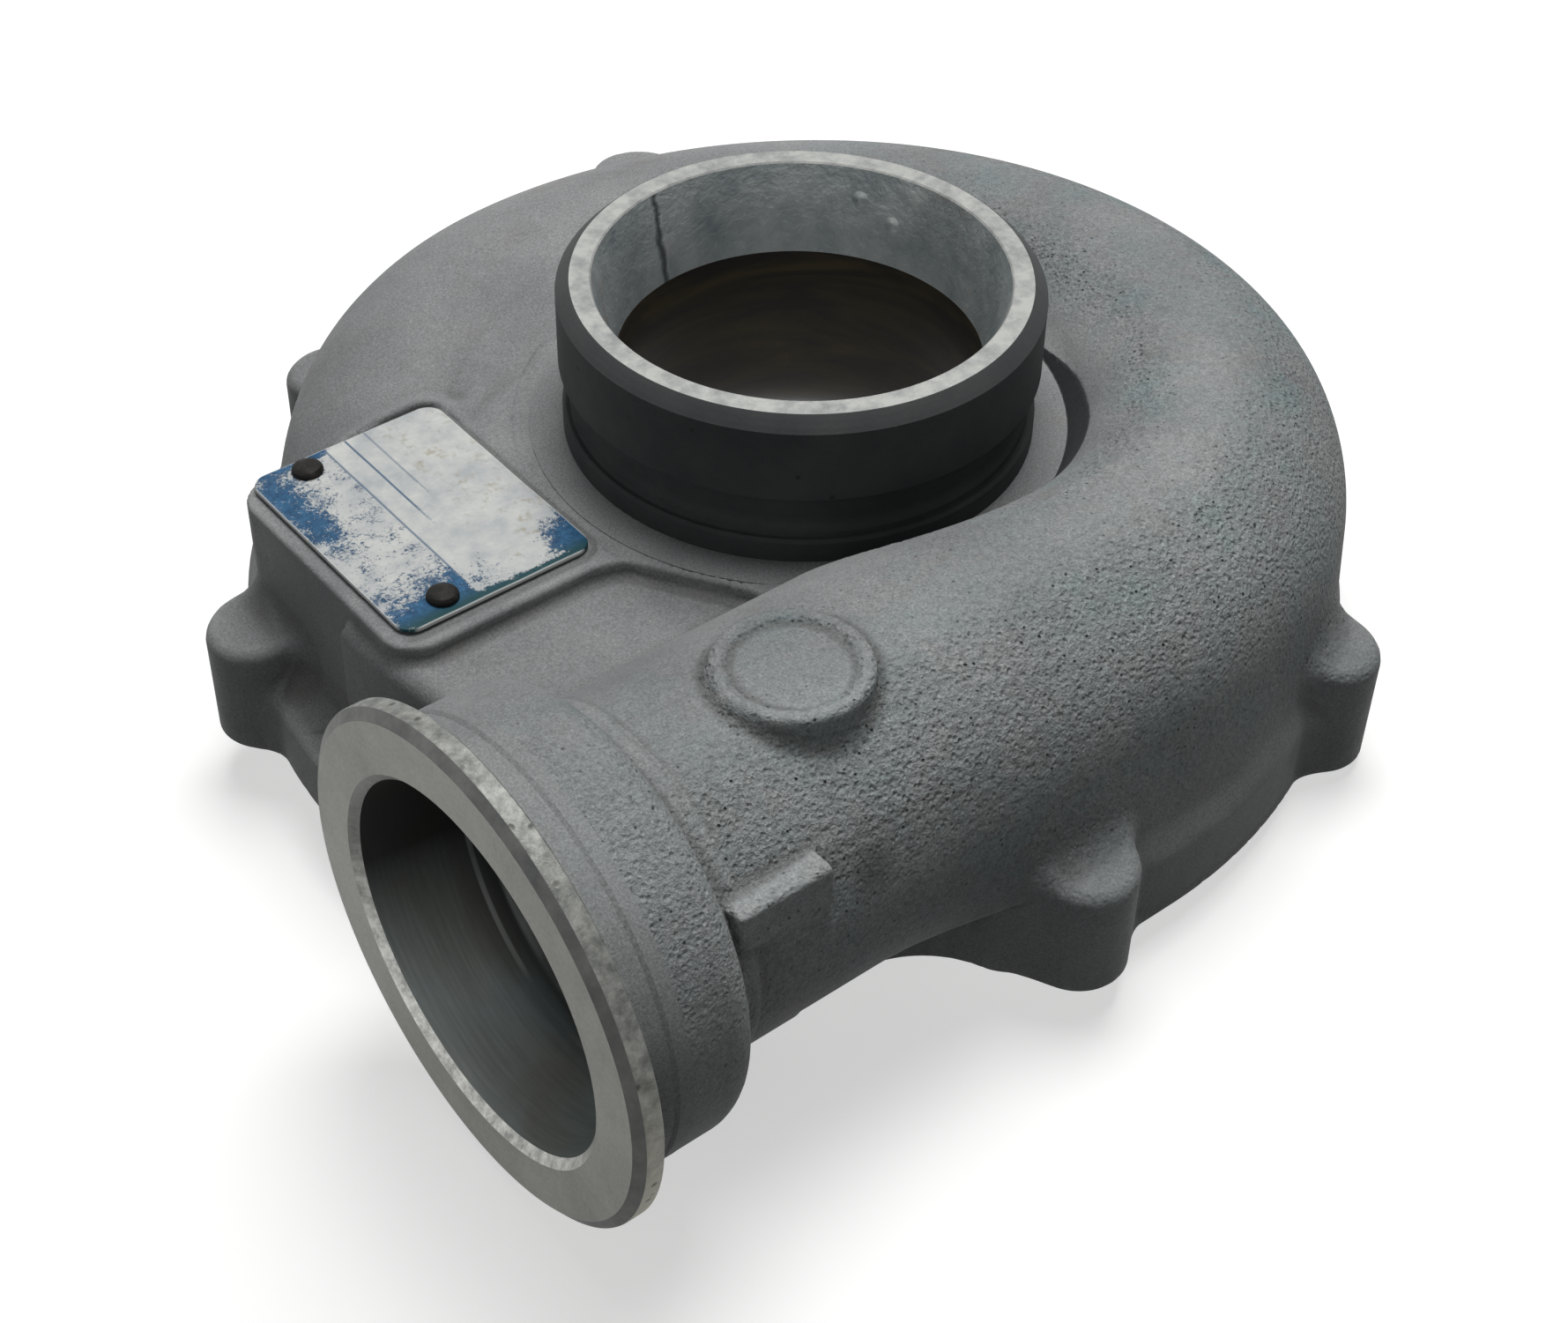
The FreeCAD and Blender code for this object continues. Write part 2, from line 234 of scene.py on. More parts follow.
def outline_distance(u, v, outline):
    """Distance to a closed outline, negative inside: the nearest edge, signed by counting crossings."""
    nearest = np.full(u.shape, np.inf)
    inside = np.zeros(u.shape, bool)
    for (au, av), (bu, bv) in zip(outline, outline[1:] + outline[:1]):
        eu, ev = bu - au, bv - av
        if eu == 0 and ev == 0:
            continue
        wu, wv = u - au, v - av
        t = np.clip((wu * eu + wv * ev) / (eu * eu + ev * ev), 0, 1)
        nearest = np.minimum(nearest, (wu - eu * t) ** 2 + (wv - ev * t) ** 2)
        if ev != 0:
            inside ^= ((av <= v) != (bv <= v)) & (wu < wv * (eu / ev))
    return np.where(inside, -1, 1) * np.sqrt(nearest)


def turned_distance(along, radius, outline, reach):
    """Distance to a turned form; points further off than its reach get a plain lower bound."""
    us, vs = np.array(outline).T
    rough = np.maximum.reduce([us.min() - reach - along, along - us.max() - reach, radius - vs.max() - reach])
    near = rough < 0
    distance = rough + reach
    distance[near] = outline_distance(along[near], radius[near], outline)
    return distance


def block_distance(p, low, high, corner):
    """Distance to a box with rounded corners, in as many axes as are given."""
    outside = [np.abs(c - (a + b) / 2) - (b - a) / 2 + corner for c, a, b in zip(p, low, high)]
    beyond = np.sqrt(sum(np.maximum(d, 0) ** 2 for d in outside))
    return beyond + np.minimum(np.maximum.reduce(outside), 0) - corner


def scroll_frame(x, y):
    """Radius and angle round the scroll; past the last section it runs straight along -X."""
    straight = (x < 0) & (y < 0)
    radius = np.where(straight, -y, np.hypot(x, y))
    angle = np.where(straight, -90.0, np.degrees(np.arctan2(y, x)))
    return radius, angle, straight


def scroll_distance(x, y, z):
    """Scroll and tube outside. A section is a half ellipse above its centre, stretched towards the wheel,
    and a wall from the foot that touches the ellipse: A cos t - B sin t = outside radius * rise gives the
    point t of touch, with A = rise * (foot radius - centre radius) and B = centre height * outside radius.
    Along the straight run the wall turns into the tube's circle."""
    radius, angle, straight = scroll_frame(x, y)
    rc, zc, r, inward, rise, _ = (np.interp(angle, SCROLL_ANGLES, row) for row in SCROLL_ROWS)
    a, b = rise * (FOOT_R - rc), zc * r
    t = np.arccos(r * rise / np.hypot(a, b)) - np.arctan2(b, a)
    touch_r, touch_z = rc + r * np.cos(t), zc + rise * np.sin(t)
    lean = FOOT_R - touch_r
    wall = ((radius - touch_r) * touch_z - (touch_z - z) * lean) / np.hypot(lean, touch_z)
    wall = np.maximum(wall, rc - inward - radius)
    across = (radius - rc) / np.where(radius < rc, inward, r)
    up = (z - zc) / rise
    ring = np.hypot(across, up)
    steep = np.hypot(across / np.where(radius < rc, inward, r), up / rise)
    crown = ring * (ring - 1) / np.maximum(steep, 1e-6)
    section = np.where(z > np.where(radius < rc, zc, touch_z), crown, wall)
    circle = np.hypot(radius - rc, z - zc) - r
    turn = np.where(straight, np.clip((-x - 18) / 44, 0, 1), 0)
    turn = turn * turn * (3 - 2 * turn)
    section = section + (circle - section) * turn
    past_start = np.where(angle > SCROLL_START, radius * np.sin(np.radians(angle - SCROLL_START)), -1e3)
    past_end = np.where(straight, OUTLET_FACE_X + 12 - x, -1e3)
    return np.maximum(section, np.maximum(past_start, past_end))


def passage_distance(x, y, z):
    """Cored passage: a circle one wall inside the scroll, level with the diffuser."""
    radius, angle, straight = scroll_frame(x, y)
    rc, _, r, _, _, inner = (np.interp(angle, SCROLL_ANGLES, row) for row in SCROLL_ROWS)
    section = np.hypot(radius - (rc + r - WALL - inner), z - PASSAGE_FLOOR_Z - inner) - inner
    past_start = np.where(angle > SCROLL_START, radius * np.sin(np.radians(angle - SCROLL_START)), -1e3)
    past_end = np.where(straight, -60 - x, -1e3)
    return np.maximum(section, np.maximum(past_start, past_end))


def boss_distance(x, y, z, angle, height):
    """Bolt boss: a round post on its bolt centre with a neck into the wall. Its top falls away outwards, and
    the neck sinks between the post and the wall."""
    a = math.radians(angle)
    u = x * math.cos(a) + y * math.sin(a) - BOSS_CIRCLE_R
    v = y * math.cos(a) - x * math.sin(a)
    side = np.where(u > 0, np.hypot(u, v), np.abs(v)) - BOSS_R
    side = np.maximum(side, -BOSS_NECK - u)
    fall = 0.14 * u + 0.3 * np.clip(-u - 3, 0, 12)
    return meet(side, (z - height + fall) * 0.95, 2.4)


def casting_distance(x, y, z):
    """Distance to the casting, in millimetres, negative in the metal. Deck, pad and valley come first, then
    the scroll with its tube, the flange, the bosses and the small cast details; the cored rooms come last.
    The cove that the scroll keeps from the collar is a ring section, moved in and out by bell curves of the
    angle: exp(-((angle - middle) / width)^2)."""
    radius = np.hypot(x, y)
    tube_r = np.hypot(y - OUTLET_Y, z - OUTLET_Z)
    depth = x - OUTLET_FACE_X

    ring_r, ring_z, ring = COVE_RING
    around = np.degrees(np.arctan2(y, x))
    cove_r = radius - COVE_OUT + sum(far * np.exp(-((around - at) / wide) ** 2) for far, at, wide in COVE_BELLS)
    cove = np.where(cove_r < ring_r, np.hypot(cove_r - ring_r, z - ring_z), z - ring_z) - ring
    scallop = np.hypot(x - SCALLOP[0], y - SCALLOP[1]) - SCALLOP[2]
    scroll, cove = scroll_distance(x, y, z), join(cove, z - DECK_Z, 1.5)
    scroll = np.maximum(scroll, cove) + np.maximum(3.0 - np.abs(scroll - cove), 0) ** 2 / 12
    scroll = meet(scroll, -np.maximum(scallop, z - SCALLOP[3]), 3.0)

    chord = -x * math.cos(CHORD_ANGLE) - y * math.sin(CHORD_ANGLE) - CHORD_AT
    plateau = np.maximum(radius - PLATEAU_R, chord)
    pad = block_distance((x, y), (PAD[0], PAD[2]), (PAD[1], PAD[3]), 7.0)
    deck = meet(join(plateau, pad, 5.0), z - DECK_Z, 0.8)
    floor = np.maximum(np.maximum(radius - 99, x), np.maximum(y - 5, -70 - y))
    valley = meet(floor, z - VALLEY_Z, 4.0)
    walls = join(join(deck, valley, 1.8), scroll, 5.0)
    flange = meet(join(walls, z - FLANGE_H, 8.0), radius - FLANGE_R, 2.0)
    body = np.minimum(walls, meet(flange, -scallop, 3.0))
    for angle, height in BOSSES:
        body = join(body, boss_distance(x, y, z, angle, height), 4.6)
    body = np.maximum(body, -z)

    body = join(body, turned_distance(depth, tube_r, COLLAR_OUTLINE, TURNED_REACH), 1.5)
    lug = meet(block_distance((x, y), LUG[0:3:2], LUG[1:4:2], 1.0), z - LUG[5], 0.8)
    body = join(body, np.maximum(lug, LUG[4] - z), 0.8)
    pad_x, pad_y, pad_r, pad_z = CAST_PAD
    off = np.hypot(x - pad_x, y - pad_y)
    cast_pad = np.maximum(meet(off - pad_r, z - pad_z, 1.2), pad_z - 14 - z)
    dish = np.hypot(np.maximum(off - pad_r + 4.0, 0), np.maximum(pad_z + 0.9 - z, 0)) - 1.7
    body = join(body, meet(cast_pad, -dish, 0.8), 2.0)

    plate_room = block_distance((x, y), (-97.5, -10.5), (-53.0, 44.6), 4.5)
    body = meet(body, -np.maximum(plate_room, DECK_Z - z), 1.5)
    body = np.maximum(body, -turned_distance(radius, z, THROAT_ROOM, TURNED_REACH))
    passage = np.minimum(passage_distance(x, y, z), turned_distance(depth, tube_r, MOUTH_ROOM, TURNED_REACH))
    body = np.maximum(body, -passage)
    for angle, _ in BOSSES:
        a = math.radians(angle)
        hole = np.hypot(x - BOSS_CIRCLE_R * math.cos(a), y - BOSS_CIRCLE_R * math.sin(a)) - BOLT_R
        body = np.maximum(body, -np.maximum(hole, z - BOLT_DEPTH))
    return body


def gradient(distance, p, reach=0.04):
    """Unit normals: the distance's slope over a small step each way along the axes."""
    slope = np.empty_like(p)
    for i in range(3):
        step = np.zeros(3)
        step[i] = reach
        slope[:, i] = distance(*(p + step).T) - distance(*(p - step).T)
    return slope / np.maximum(np.linalg.norm(slope, axis=1, keepdims=True), 1e-9)


def contour(distance, low, high, step):
    """Closed mesh of distance = 0: one point in each grid cell that the surface crosses, placed where the
    tangent planes of its crossings meet, and one four-sided face round each crossed grid edge."""
    axes = [np.arange(a, b + step, step) for a, b in zip(low, high)]
    shape = [len(a) for a in axes]
    field = np.empty(shape, np.float32)
    for i in range(0, shape[0], 12):
        x, y, z = np.meshgrid(axes[0][i:i + 12], axes[1], axes[2], indexing="ij")
        field[i:i + 12] = distance(x, y, z)
    inside = field < 0
    strides = np.array([shape[1] * shape[2], shape[2], 1])
    points, cells, faces = [], [], []
    for axis in range(3):
        a, b = strides[(axis + 1) % 3], strides[(axis + 2) % 3]
        lower = tuple(slice(0, -1) if i == axis else slice(None) for i in range(3))
        upper = tuple(slice(1, None) if i == axis else slice(None) for i in range(3))
        at = np.argwhere(inside[lower] != inside[upper])
        starts_in = inside[tuple(at.T)]
        ends = at + np.eye(3, dtype=int)[axis]
        d0, d1 = field[tuple(at.T)], field[tuple(ends.T)]
        p = np.array(low) + at * step
        t = d0 / (d0 - d1)
        for _ in range(2):
            p[:, axis] = low[axis] + (at[:, axis] + t) * step
            d = distance(*p.T)
            far = np.where((d < 0) == starts_in, d1, d0)
            t = np.clip(t + d / (d - far) * np.where((d < 0) == starts_in, 1 - t, -t), 0, 1)
        p[:, axis] = low[axis] + (at[:, axis] + t) * step
        home = at @ strides
        ring = np.stack([home, home - a, home - a - b, home - b], axis=1)
        points.append(p)
        cells.append(ring)
        faces.append(np.where(starts_in[:, None], ring, ring[:, ::-1]))
    points, cells, faces = (np.concatenate(part) for part in (points, cells, faces))
    normals = gradient(distance, points)
    used, owner = np.unique(cells.ravel(), return_inverse=True)
    owner = owner.reshape(cells.shape)

    def gather(values):
        """Sum of a value per crossing over the cells that share it."""
        return np.bincount(owner.ravel(), np.repeat(values, 4), len(used))

    count = gather(np.ones(len(points)))
    mean = np.stack([gather(points[:, i]) for i in range(3)], axis=1) / count[:, None]
    offset = (normals * points).sum(1)
    matrix = np.empty((len(used), 3, 3))
    right = np.empty((len(used), 3))
    for i in range(3):
        for j in range(3):
            matrix[:, i, j] = gather(normals[:, i] * normals[:, j])
        right[:, i] = gather(normals[:, i] * offset)
    right -= np.einsum("nij,nj->ni", matrix, mean)
    values, vectors = np.linalg.eigh(matrix)
    keep = values > 0.08 * values[:, 2:]
    inverse = np.where(keep, 1 / np.where(keep, values, 1), 0)
    shift = np.einsum("nij,nj,nkj,nk->ni", vectors, inverse, vectors, right)
    index = np.stack(np.unravel_index(used, shape), axis=1)
    corner = np.array(low) + index * step
    vertices = np.clip(mean + shift, corner - 0.05 * step, corner + 1.05 * step)
    return vertices, np.searchsorted(used, faces)


def mesh_piece(name, vertices, faces):
    """New object at the origin from points in millimetres and a list of faces."""
    mesh = bpy.data.meshes.new(name)
    mesh.from_pydata(np.asarray(vertices) * MM, [], faces)
    mesh.polygons.foreach_set("use_smooth", np.ones(len(mesh.polygons), bool))
    made = bpy.data.objects.new(name, mesh)
    bpy.context.scene.collection.objects.link(made)
    return made


def millimetres(items, what):
    """Places of a mesh's points or faces as rows of x, y, z in millimetres."""
    rows = np.empty(len(items) * 3)
    items.foreach_get(what, rows)
    return rows.reshape(-1, 3) / MM


def shade_by(distance, mesh):
    """Corner normals taken from the distance function, a little way into each face from its corner."""
    at = np.empty(len(mesh.loops), np.int32)
    mesh.loops.foreach_get("vertex_index", at)
    corners = millimetres(mesh.vertices, "co")[at]
    totals = np.empty(len(mesh.polygons), np.int32)
    mesh.polygons.foreach_get("loop_total", totals)
    toward = np.repeat(millimetres(mesh.polygons, "center"), totals, axis=0)
    p = corners + 0.12 * (toward - corners)
    mesh.normals_split_custom_set(gradient(distance, p, 0.08))


def build_housing():
    """The casting in one piece, thinned to about the faces that its curves need."""
    vertices, faces = contour(casting_distance, *GRID_BOX, 1.0)
    housing = mesh_piece("housing_casting", vertices, faces)
    triangles = 2 * len(faces)
    print("casting", len(vertices), "points", triangles, "triangles")
    if triangles > MOST_TRIANGLES:
        thin = housing.modifiers.new("thin", "DECIMATE")
        thin.ratio = MOST_TRIANGLES / triangles
        graph = bpy.context.evaluated_depsgraph_get()
        slim = bpy.data.meshes.new_from_object(housing.evaluated_get(graph))
        housing.modifiers.clear()
        housing.data = slim
    mark_skin(housing.data)
    shade_by(casting_distance, housing.data)
    x, y, z = millimetres(housing.data.polygons, "center").T
    turned = (z < 0.1) | ((z < DIFFUSER_Z + 0.2) & (np.hypot(x, y) < REGISTER_R + 0.2))
    housing.data.polygons.foreach_set("material_index", turned.astype(np.int32))
    return housing


def lathe_piece(name, ring, finishes, segments, place):
    """Ring turned from a closed outline: every point carried round in equal steps, placed by a function of
    the outline's two numbers and the angle. Each face takes the finish of its outline edge."""
    angle = np.arange(segments) * (2 * math.pi / segments)
    u, v = (np.array(c)[:, None] for c in zip(*ring))
    vertices = place(u, v, angle[None, :]).reshape(-1, 3)
    i, j = np.meshgrid(np.arange(len(ring)), np.arange(segments), indexing="ij")
    i2, j2 = (i + 1) % len(ring), (j + 1) % segments
    faces = np.stack([i * segments + j, i * segments + j2, i2 * segments + j2, i2 * segments + j], axis=2)
    made = mesh_piece(name, vertices, faces.reshape(-1, 4))
    made.data.polygons.foreach_set("material_index", np.repeat(finishes, segments).astype(np.int32))
    close(made.data)
    made.data.set_sharp_from_angle(angle=math.radians(24))
    return made


def close(mesh):
    """Drops points without a face, merges doubled ones and turns every face outwards."""
    shell = bmesh.new()
    shell.from_mesh(mesh)
    bmesh.ops.delete(shell, geom=[v for v in shell.verts if not v.link_faces], context="VERTS")
    bmesh.ops.remove_doubles(shell, verts=shell.verts, dist=0.002 * MM)
    bmesh.ops.recalc_face_normals(shell, faces=shell.faces)
    shell.to_mesh(mesh)
    shell.free()


def build_inlet_ring():
    """Collar, bead, ledge, throat and wheel contour: radius and height turned about the wheel axis."""
    def place(r, z, a):
        return np.stack([r * np.cos(a), r * np.sin(a), z + 0 * a], axis=2)
    return lathe_piece("inlet_ring", INLET_RING, INLET_FINISHES, 288, place)


def build_outlet_ring():
    """Face, rim, groove and bore of the outlet: depth and radius turned about the tube's axis."""
    def place(d, r, a):
        return np.stack([OUTLET_FACE_X + d + 0 * a, OUTLET_Y + r * np.cos(a), OUTLET_Z + r * np.sin(a)], axis=2)
    return lathe_piece("outlet_ring", OUTLET_RING, OUTLET_FINISHES, 256, place)


def build_plate():
    """Riveted plate: rows across a rounded rectangle, whose half width shortens by a circle's arc at the
    corners, for each layer of its rolled edge; the top is bowed by a tenth of a millimetre."""
    wide, long, thick = PLATE_SIZE
    layers = [(0.0, 0.12), (0.0, thick - 0.22), (0.1, thick - 0.06), (0.3, thick)]
    rows, columns = 49, 25
    grids = []
    for inset, height in [(0.15, 0.0)] + layers:
        corner = PLATE_CORNER - inset
        half_y = long / 2 - inset
        turn = np.linspace(0, math.pi / 2, 9)
        straight = np.linspace(-1, 1, rows - 18) * (half_y - corner)
        y = np.concatenate([-half_y + corner * (1 - np.cos(turn))[:-1], [-half_y + corner], straight[1:-1],
                            [half_y - corner], half_y - corner * (1 - np.cos(turn))[:-1][::-1]])
        past = np.clip(np.abs(y) - half_y + corner, 0, corner)
        half_x = wide / 2 - inset - corner + np.sqrt(corner ** 2 - past ** 2)
        x = np.linspace(-1, 1, columns)[None, :] * half_x[:, None]
        y = np.repeat(y[:, None], columns, axis=1)
        bow = 0.05 * np.sin(x * 0.21 + 0.6) * np.cos(y * 0.17) + 0.035 * np.sin(x * 0.5 - y * 0.33)
        z = DECK_Z + height + (bow if height > 0.5 else 0) + 0 * x
        grids.append(np.stack([x + PLATE_CENTRE[0], y + PLATE_CENTRE[1], z], axis=2))
    count = grids[0].shape[0]
    index = np.arange(count * columns).reshape(count, columns)
    rim = np.concatenate([index[0, :-1], index[:-1, -1], index[-1, :0:-1], index[:0:-1, 0]])
    flat = np.stack([index[:-1, :-1], index[:-1, 1:], index[1:, 1:], index[1:, :-1]], axis=2).reshape(-1, 4)
    faces = [flat, flat + 4 * count * columns]
    for layer in range(4):
        a, b = rim + layer * count * columns, rim + (layer + 1) * count * columns
        faces.append(np.stack([a, np.roll(a, -1), np.roll(b, -1), b], axis=1))
    made = mesh_piece("riveted_plate", np.concatenate([g.reshape(-1, 3) for g in grids]), np.concatenate(faces))
    close(made.data)
    made.data.set_sharp_from_angle(angle=math.radians(40))
    return made


def build_rivets():
    """Drive rivets: a low dome's profile turned about each rivet's own axis."""
    profile = [(0.0, 0.02), (2.85, 0.02), (RIVET_R, 0.2), (2.93, 0.62), (2.78, 0.95), (2.45, 1.22), (1.95, 1.42),
               (1.3, 1.54), (0.65, 1.59), (0.0, 1.6)]
    top = DECK_Z + PLATE_SIZE[2]
    made = []
    for number, (cx, cy) in enumerate(RIVETS, 1):
        def place(r, h, a):
            lean = 0.05 * r * np.cos(a + number)
            return np.stack([cx + r * np.cos(a), cy + r * np.sin(a), top + h + lean * (h > 1) + 0 * a], axis=2)
        made.append(lathe_piece(f"rivet_{number}", profile, [0] * len(profile), 48, place))
    return made


def mark_skin(mesh):
    """Two numbers at every point of the casting: edge, its mean curvature (convex above zero, foundry
    fillets below), and pebble, how rough the sand left it, from the point's place and slope."""
    points = millimetres(mesh.vertices, "co")
    reach = 1.6
    total = -6 * casting_distance(*points.T)
    for i in range(3):
        step = np.zeros(3)
        step[i] = reach
        total += casting_distance(*(points + step).T) + casting_distance(*(points - step).T)
    edge = np.clip(total / reach ** 2 * 2.5, -1, 1)
    x, y, z = points.T
    slope = gradient(casting_distance, points, 0.5)
    radius, angle, _ = scroll_frame(x, y)
    shoulder = np.clip((z - 17) / 16, 0, 1) * np.clip((radius - 56) / 8, 0, 1)
    around = np.clip((62 - angle) / 40, 0, 1)
    crest = 1 - 0.55 * np.clip((slope[:, 2] - 0.9) / 0.1, 0, 1)
    pebble = shoulder * around * crest * np.where(x < -88, 0.7, 1.0) + 0.12
    for name, values in (("edge", edge), ("pebble", pebble)):
        mesh.attributes.new(name, "FLOAT", "POINT").data.foreach_set("value", values.astype(np.float32))


def linear(hex_colour):
    """sRGB hex value as linear red, green, blue and alpha."""
    channels = [int(hex_colour[i:i + 2], 16) / 255 for i in (1, 3, 5)]
    return [c / 12.92 if c <= 0.04045 else ((c + 0.055) / 1.055) ** 2.4 for c in channels] + [1.0]


def add(tree, kind, inputs=None, out=0, **settings):
    """Adds a shader node and gives one of its outputs. inputs maps a socket to a value or to an output."""
    made = tree.nodes.new("ShaderNode" + kind)
    for name, value in settings.items():
        setattr(made, name, value)
    for socket, value in (inputs or {}).items():
        if isinstance(value, bpy.types.NodeSocket):
            tree.links.new(value, made.inputs[socket])
        else:
            made.inputs[socket].default_value = value
    return made.outputs[out]


def material(name, roughness=0.5, metallic=0.0, specular=0.5):
    """New node material with the plain settings on its shader's own sockets: the material, its tree and
    the object coordinates that its patterns are placed by."""
    made = bpy.data.materials.new(name)
    made.use_nodes = True
    shader = made.node_tree.nodes["Principled BSDF"]
    shader.inputs["Roughness"].default_value = roughness
    shader.inputs["Metallic"].default_value = metallic
    shader.inputs["Specular IOR Level"].default_value = specular
    return made, made.node_tree, add(made.node_tree, "TexCoord", out="Object")


def surface(made, colour, relief=None):
    """Links a material's colour and relief to its shader and gives the material."""
    shader = made.node_tree.nodes["Principled BSDF"]
    made.node_tree.links.new(colour, shader.inputs["Base Color"])
    if relief is not None:
        made.node_tree.links.new(relief, shader.inputs["Normal"])
    return made


def sand_cast_aluminium():
    """Sand-cast aluminium, shot blasted. The sand leaves pebbles about a millimetre across and pin holes on
    the shoulder, painted dark as the shade in them; blasting leaves a fine grain with painted glints on it, and
    handling cloudy, greenish and brown stains. Painted shade darkens the low walls, the fillets and the groove
    wall, and a painted highlight lightens the top of the tube at the front."""
    made, tree, place = material("sand_cast_aluminium", roughness=0.62, specular=0.14)
    edge = add(tree, "Attribute", out="Fac", attribute_name="edge")
    pebble = add(tree, "Attribute", out="Fac", attribute_name="pebble")

    # Tone in 30 mm clouds, greenish on the pebbled skin, brown where it was handled
    cloud = add(tree, "TexNoise", {"Vector": place, "Scale": 34.0, "Detail": 6.0, "Roughness": 0.62})
    cloud = add(tree, "MapRange", {"Value": cloud, "From Min": 0.3, "From Max": 0.7})
    tint = add(tree, "TexNoise", {"Vector": place, "Scale": 75.0, "Detail": 5.0, "Roughness": 0.7})
    tint = add(tree, "MapRange", {"Value": tint, "From Min": 0.42, "From Max": 0.72, "To Max": 0.7})
    tint = add(tree, "Math", {0: tint, 1: pebble}, operation="MULTIPLY")
    stain = add(tree, "TexNoise", {"Vector": place, "Scale": 48.0, "Detail": 7.0, "Roughness": 0.72,
                                   "Distortion": 0.6})
    stain = add(tree, "MapRange", {"Value": stain, "From Min": 0.55, "From Max": 0.78, "To Max": 0.4})

    # Painted shade: darker towards the outlet's end and near the foot; painted highlight: lighter on top of the
    # tube at the front
    across = add(tree, "SeparateXYZ", {0: place})
    height = across.node.outputs[2]
    # Painted shade: darker towards the outlet's end, and near the foot, most on the right
    side = add(tree, "MapRange", {"Value": across, "From Min": 0.02, "From Max": -0.09, "To Max": 0.14})
    foot = add(tree, "MapRange", {"Value": height, "From Min": 0.032, "From Max": 0.004, "To Max": 0.2})
    right = add(tree, "MapRange", {"Value": across, "From Min": 0.03, "From Max": 0.1, "To Min": 1.0,
                                   "To Max": 2.7})
    foot = add(tree, "Math", {0: foot, 1: right, 2: side}, operation="MULTIPLY_ADD")
    # Painted highlight: lighter on the front of the tube, high up
    front = add(tree, "MapRange", {"Value": across.node.outputs[1], "From Min": -0.06, "From Max": -0.09,
                                   "To Max": 0.28})
    raised = add(tree, "MapRange", {"Value": height, "From Min": 0.028, "From Max": 0.045})
    front = add(tree, "Math", {0: front, 1: raised}, operation="MULTIPLY")
    colour = linear("#77797a")
    for mask, tone in ((cloud, "#8f9090"), (tint, "#6f8283"), (stain, "#6c6459"), (foot, "#2a2c2c"),
                       (front, "#bcc1c0")):
        colour = add(tree, "Mix", {0: mask, 6: colour, 7: linear(tone)}, out=2, data_type="RGBA")

    # Pebbles, blasted grain of 0.4 mm with a finer one in it, painted glints on its highest grain,
    # and pin holes of 0.4 mm painted dark as the shade in them
    lump = add(tree, "TexNoise", {"Vector": place, "Scale": 800.0, "Detail": 4.0, "Roughness": 0.65})
    grain = add(tree, "TexNoise", {"Vector": place, "Scale": 2300.0, "Detail": 3.0, "Roughness": 0.75})
    for share, height_of, spread, least, most in ((pebble, lump, 0.14, 0.83, 1.19),
                                                  (1.0, grain, 0.22, 0.62, 1.36)):
        shade = add(tree, "MapRange", {"Value": height_of, "From Min": 0.5 - spread, "From Max": 0.5 + spread,
                                       "To Min": least, "To Max": most})
        colour = add(tree, "Mix", {0: share, 6: colour, 7: shade}, out=2, data_type="RGBA",
                     blend_type="MULTIPLY")
    # Painted glints: light specks on the highest grain
    painted_glint = add(tree, "MapRange", {"Value": grain, "From Min": 0.68, "From Max": 0.78, "To Max": 0.45})
    # Pin holes: cells painted dark as the shade inside them, on the pebbled skin only
    cell = add(tree, "TexVoronoi", {"Vector": place, "Scale": 520.0})
    hole = add(tree, "MapRange", {"Value": cell, "From Min": 0.17, "From Max": 0.07})
    some = add(tree, "SeparateXYZ", {0: cell.node.outputs["Color"]})
    some = add(tree, "MapRange", {"Value": some, "From Min": 0.55, "From Max": 0.6})
    for share in (some, pebble):
        hole = add(tree, "Math", {0: hole, 1: share}, operation="MULTIPLY")

    # Rubbed edges, painted shade and dirt in the fillets, and the grimy spot on the flank
    wear = add(tree, "Math", {0: edge, 1: cloud}, operation="MULTIPLY")
    wear = add(tree, "MapRange", {"Value": wear, "From Min": 0.2, "From Max": 0.8, "To Max": 0.2})
    fillet_shade_and_dirt = add(tree, "MapRange", {"Value": edge, "From Min": -0.1, "From Max": -0.75, "To Max": 0.4})
    away = add(tree, "VectorMath", {0: place, 1: GRIMY_SPOT}, out="Value", operation="DISTANCE")
    spot = add(tree, "Math", {0: cloud, 1: -0.004, 2: away}, operation="MULTIPLY_ADD")
    spot = add(tree, "MapRange", {"Value": spot, "From Min": 0.004, "From Max": 0.0, "To Max": 0.6})
    fillet_shade_and_dirt = add(tree, "Math", {0: fillet_shade_and_dirt, 1: spot}, operation="MAXIMUM")

    # Painted shade on the steep wall that the tool left where the ledge runs into the scroll: R - 0.475 z is
    # constant on it
    flat = add(tree, "VectorMath", {0: place, 1: (1, 1, 0)}, operation="MULTIPLY")
    ring = add(tree, "VectorMath", {0: flat}, out="Value", operation="LENGTH")
    wall = add(tree, "Math", {0: height, 1: -GROOVE_SLOPE, 2: ring}, operation="MULTIPLY_ADD")
    wall = add(tree, "Math", {0: wall, 1: -(GROOVE_R - GROOVE_SLOPE * LEDGE_Z) * MM}, operation="ADD")
    wall = add(tree, "Math", {0: wall}, operation="ABSOLUTE")
    wall = add(tree, "MapRange", {"Value": wall, "From Min": 0.00018, "From Max": 0.00006})
    above = add(tree, "MapRange", {"Value": height, "From Min": 0.0457, "From Max": 0.0459})
    wall = add(tree, "Math", {0: wall, 1: above}, operation="MULTIPLY")
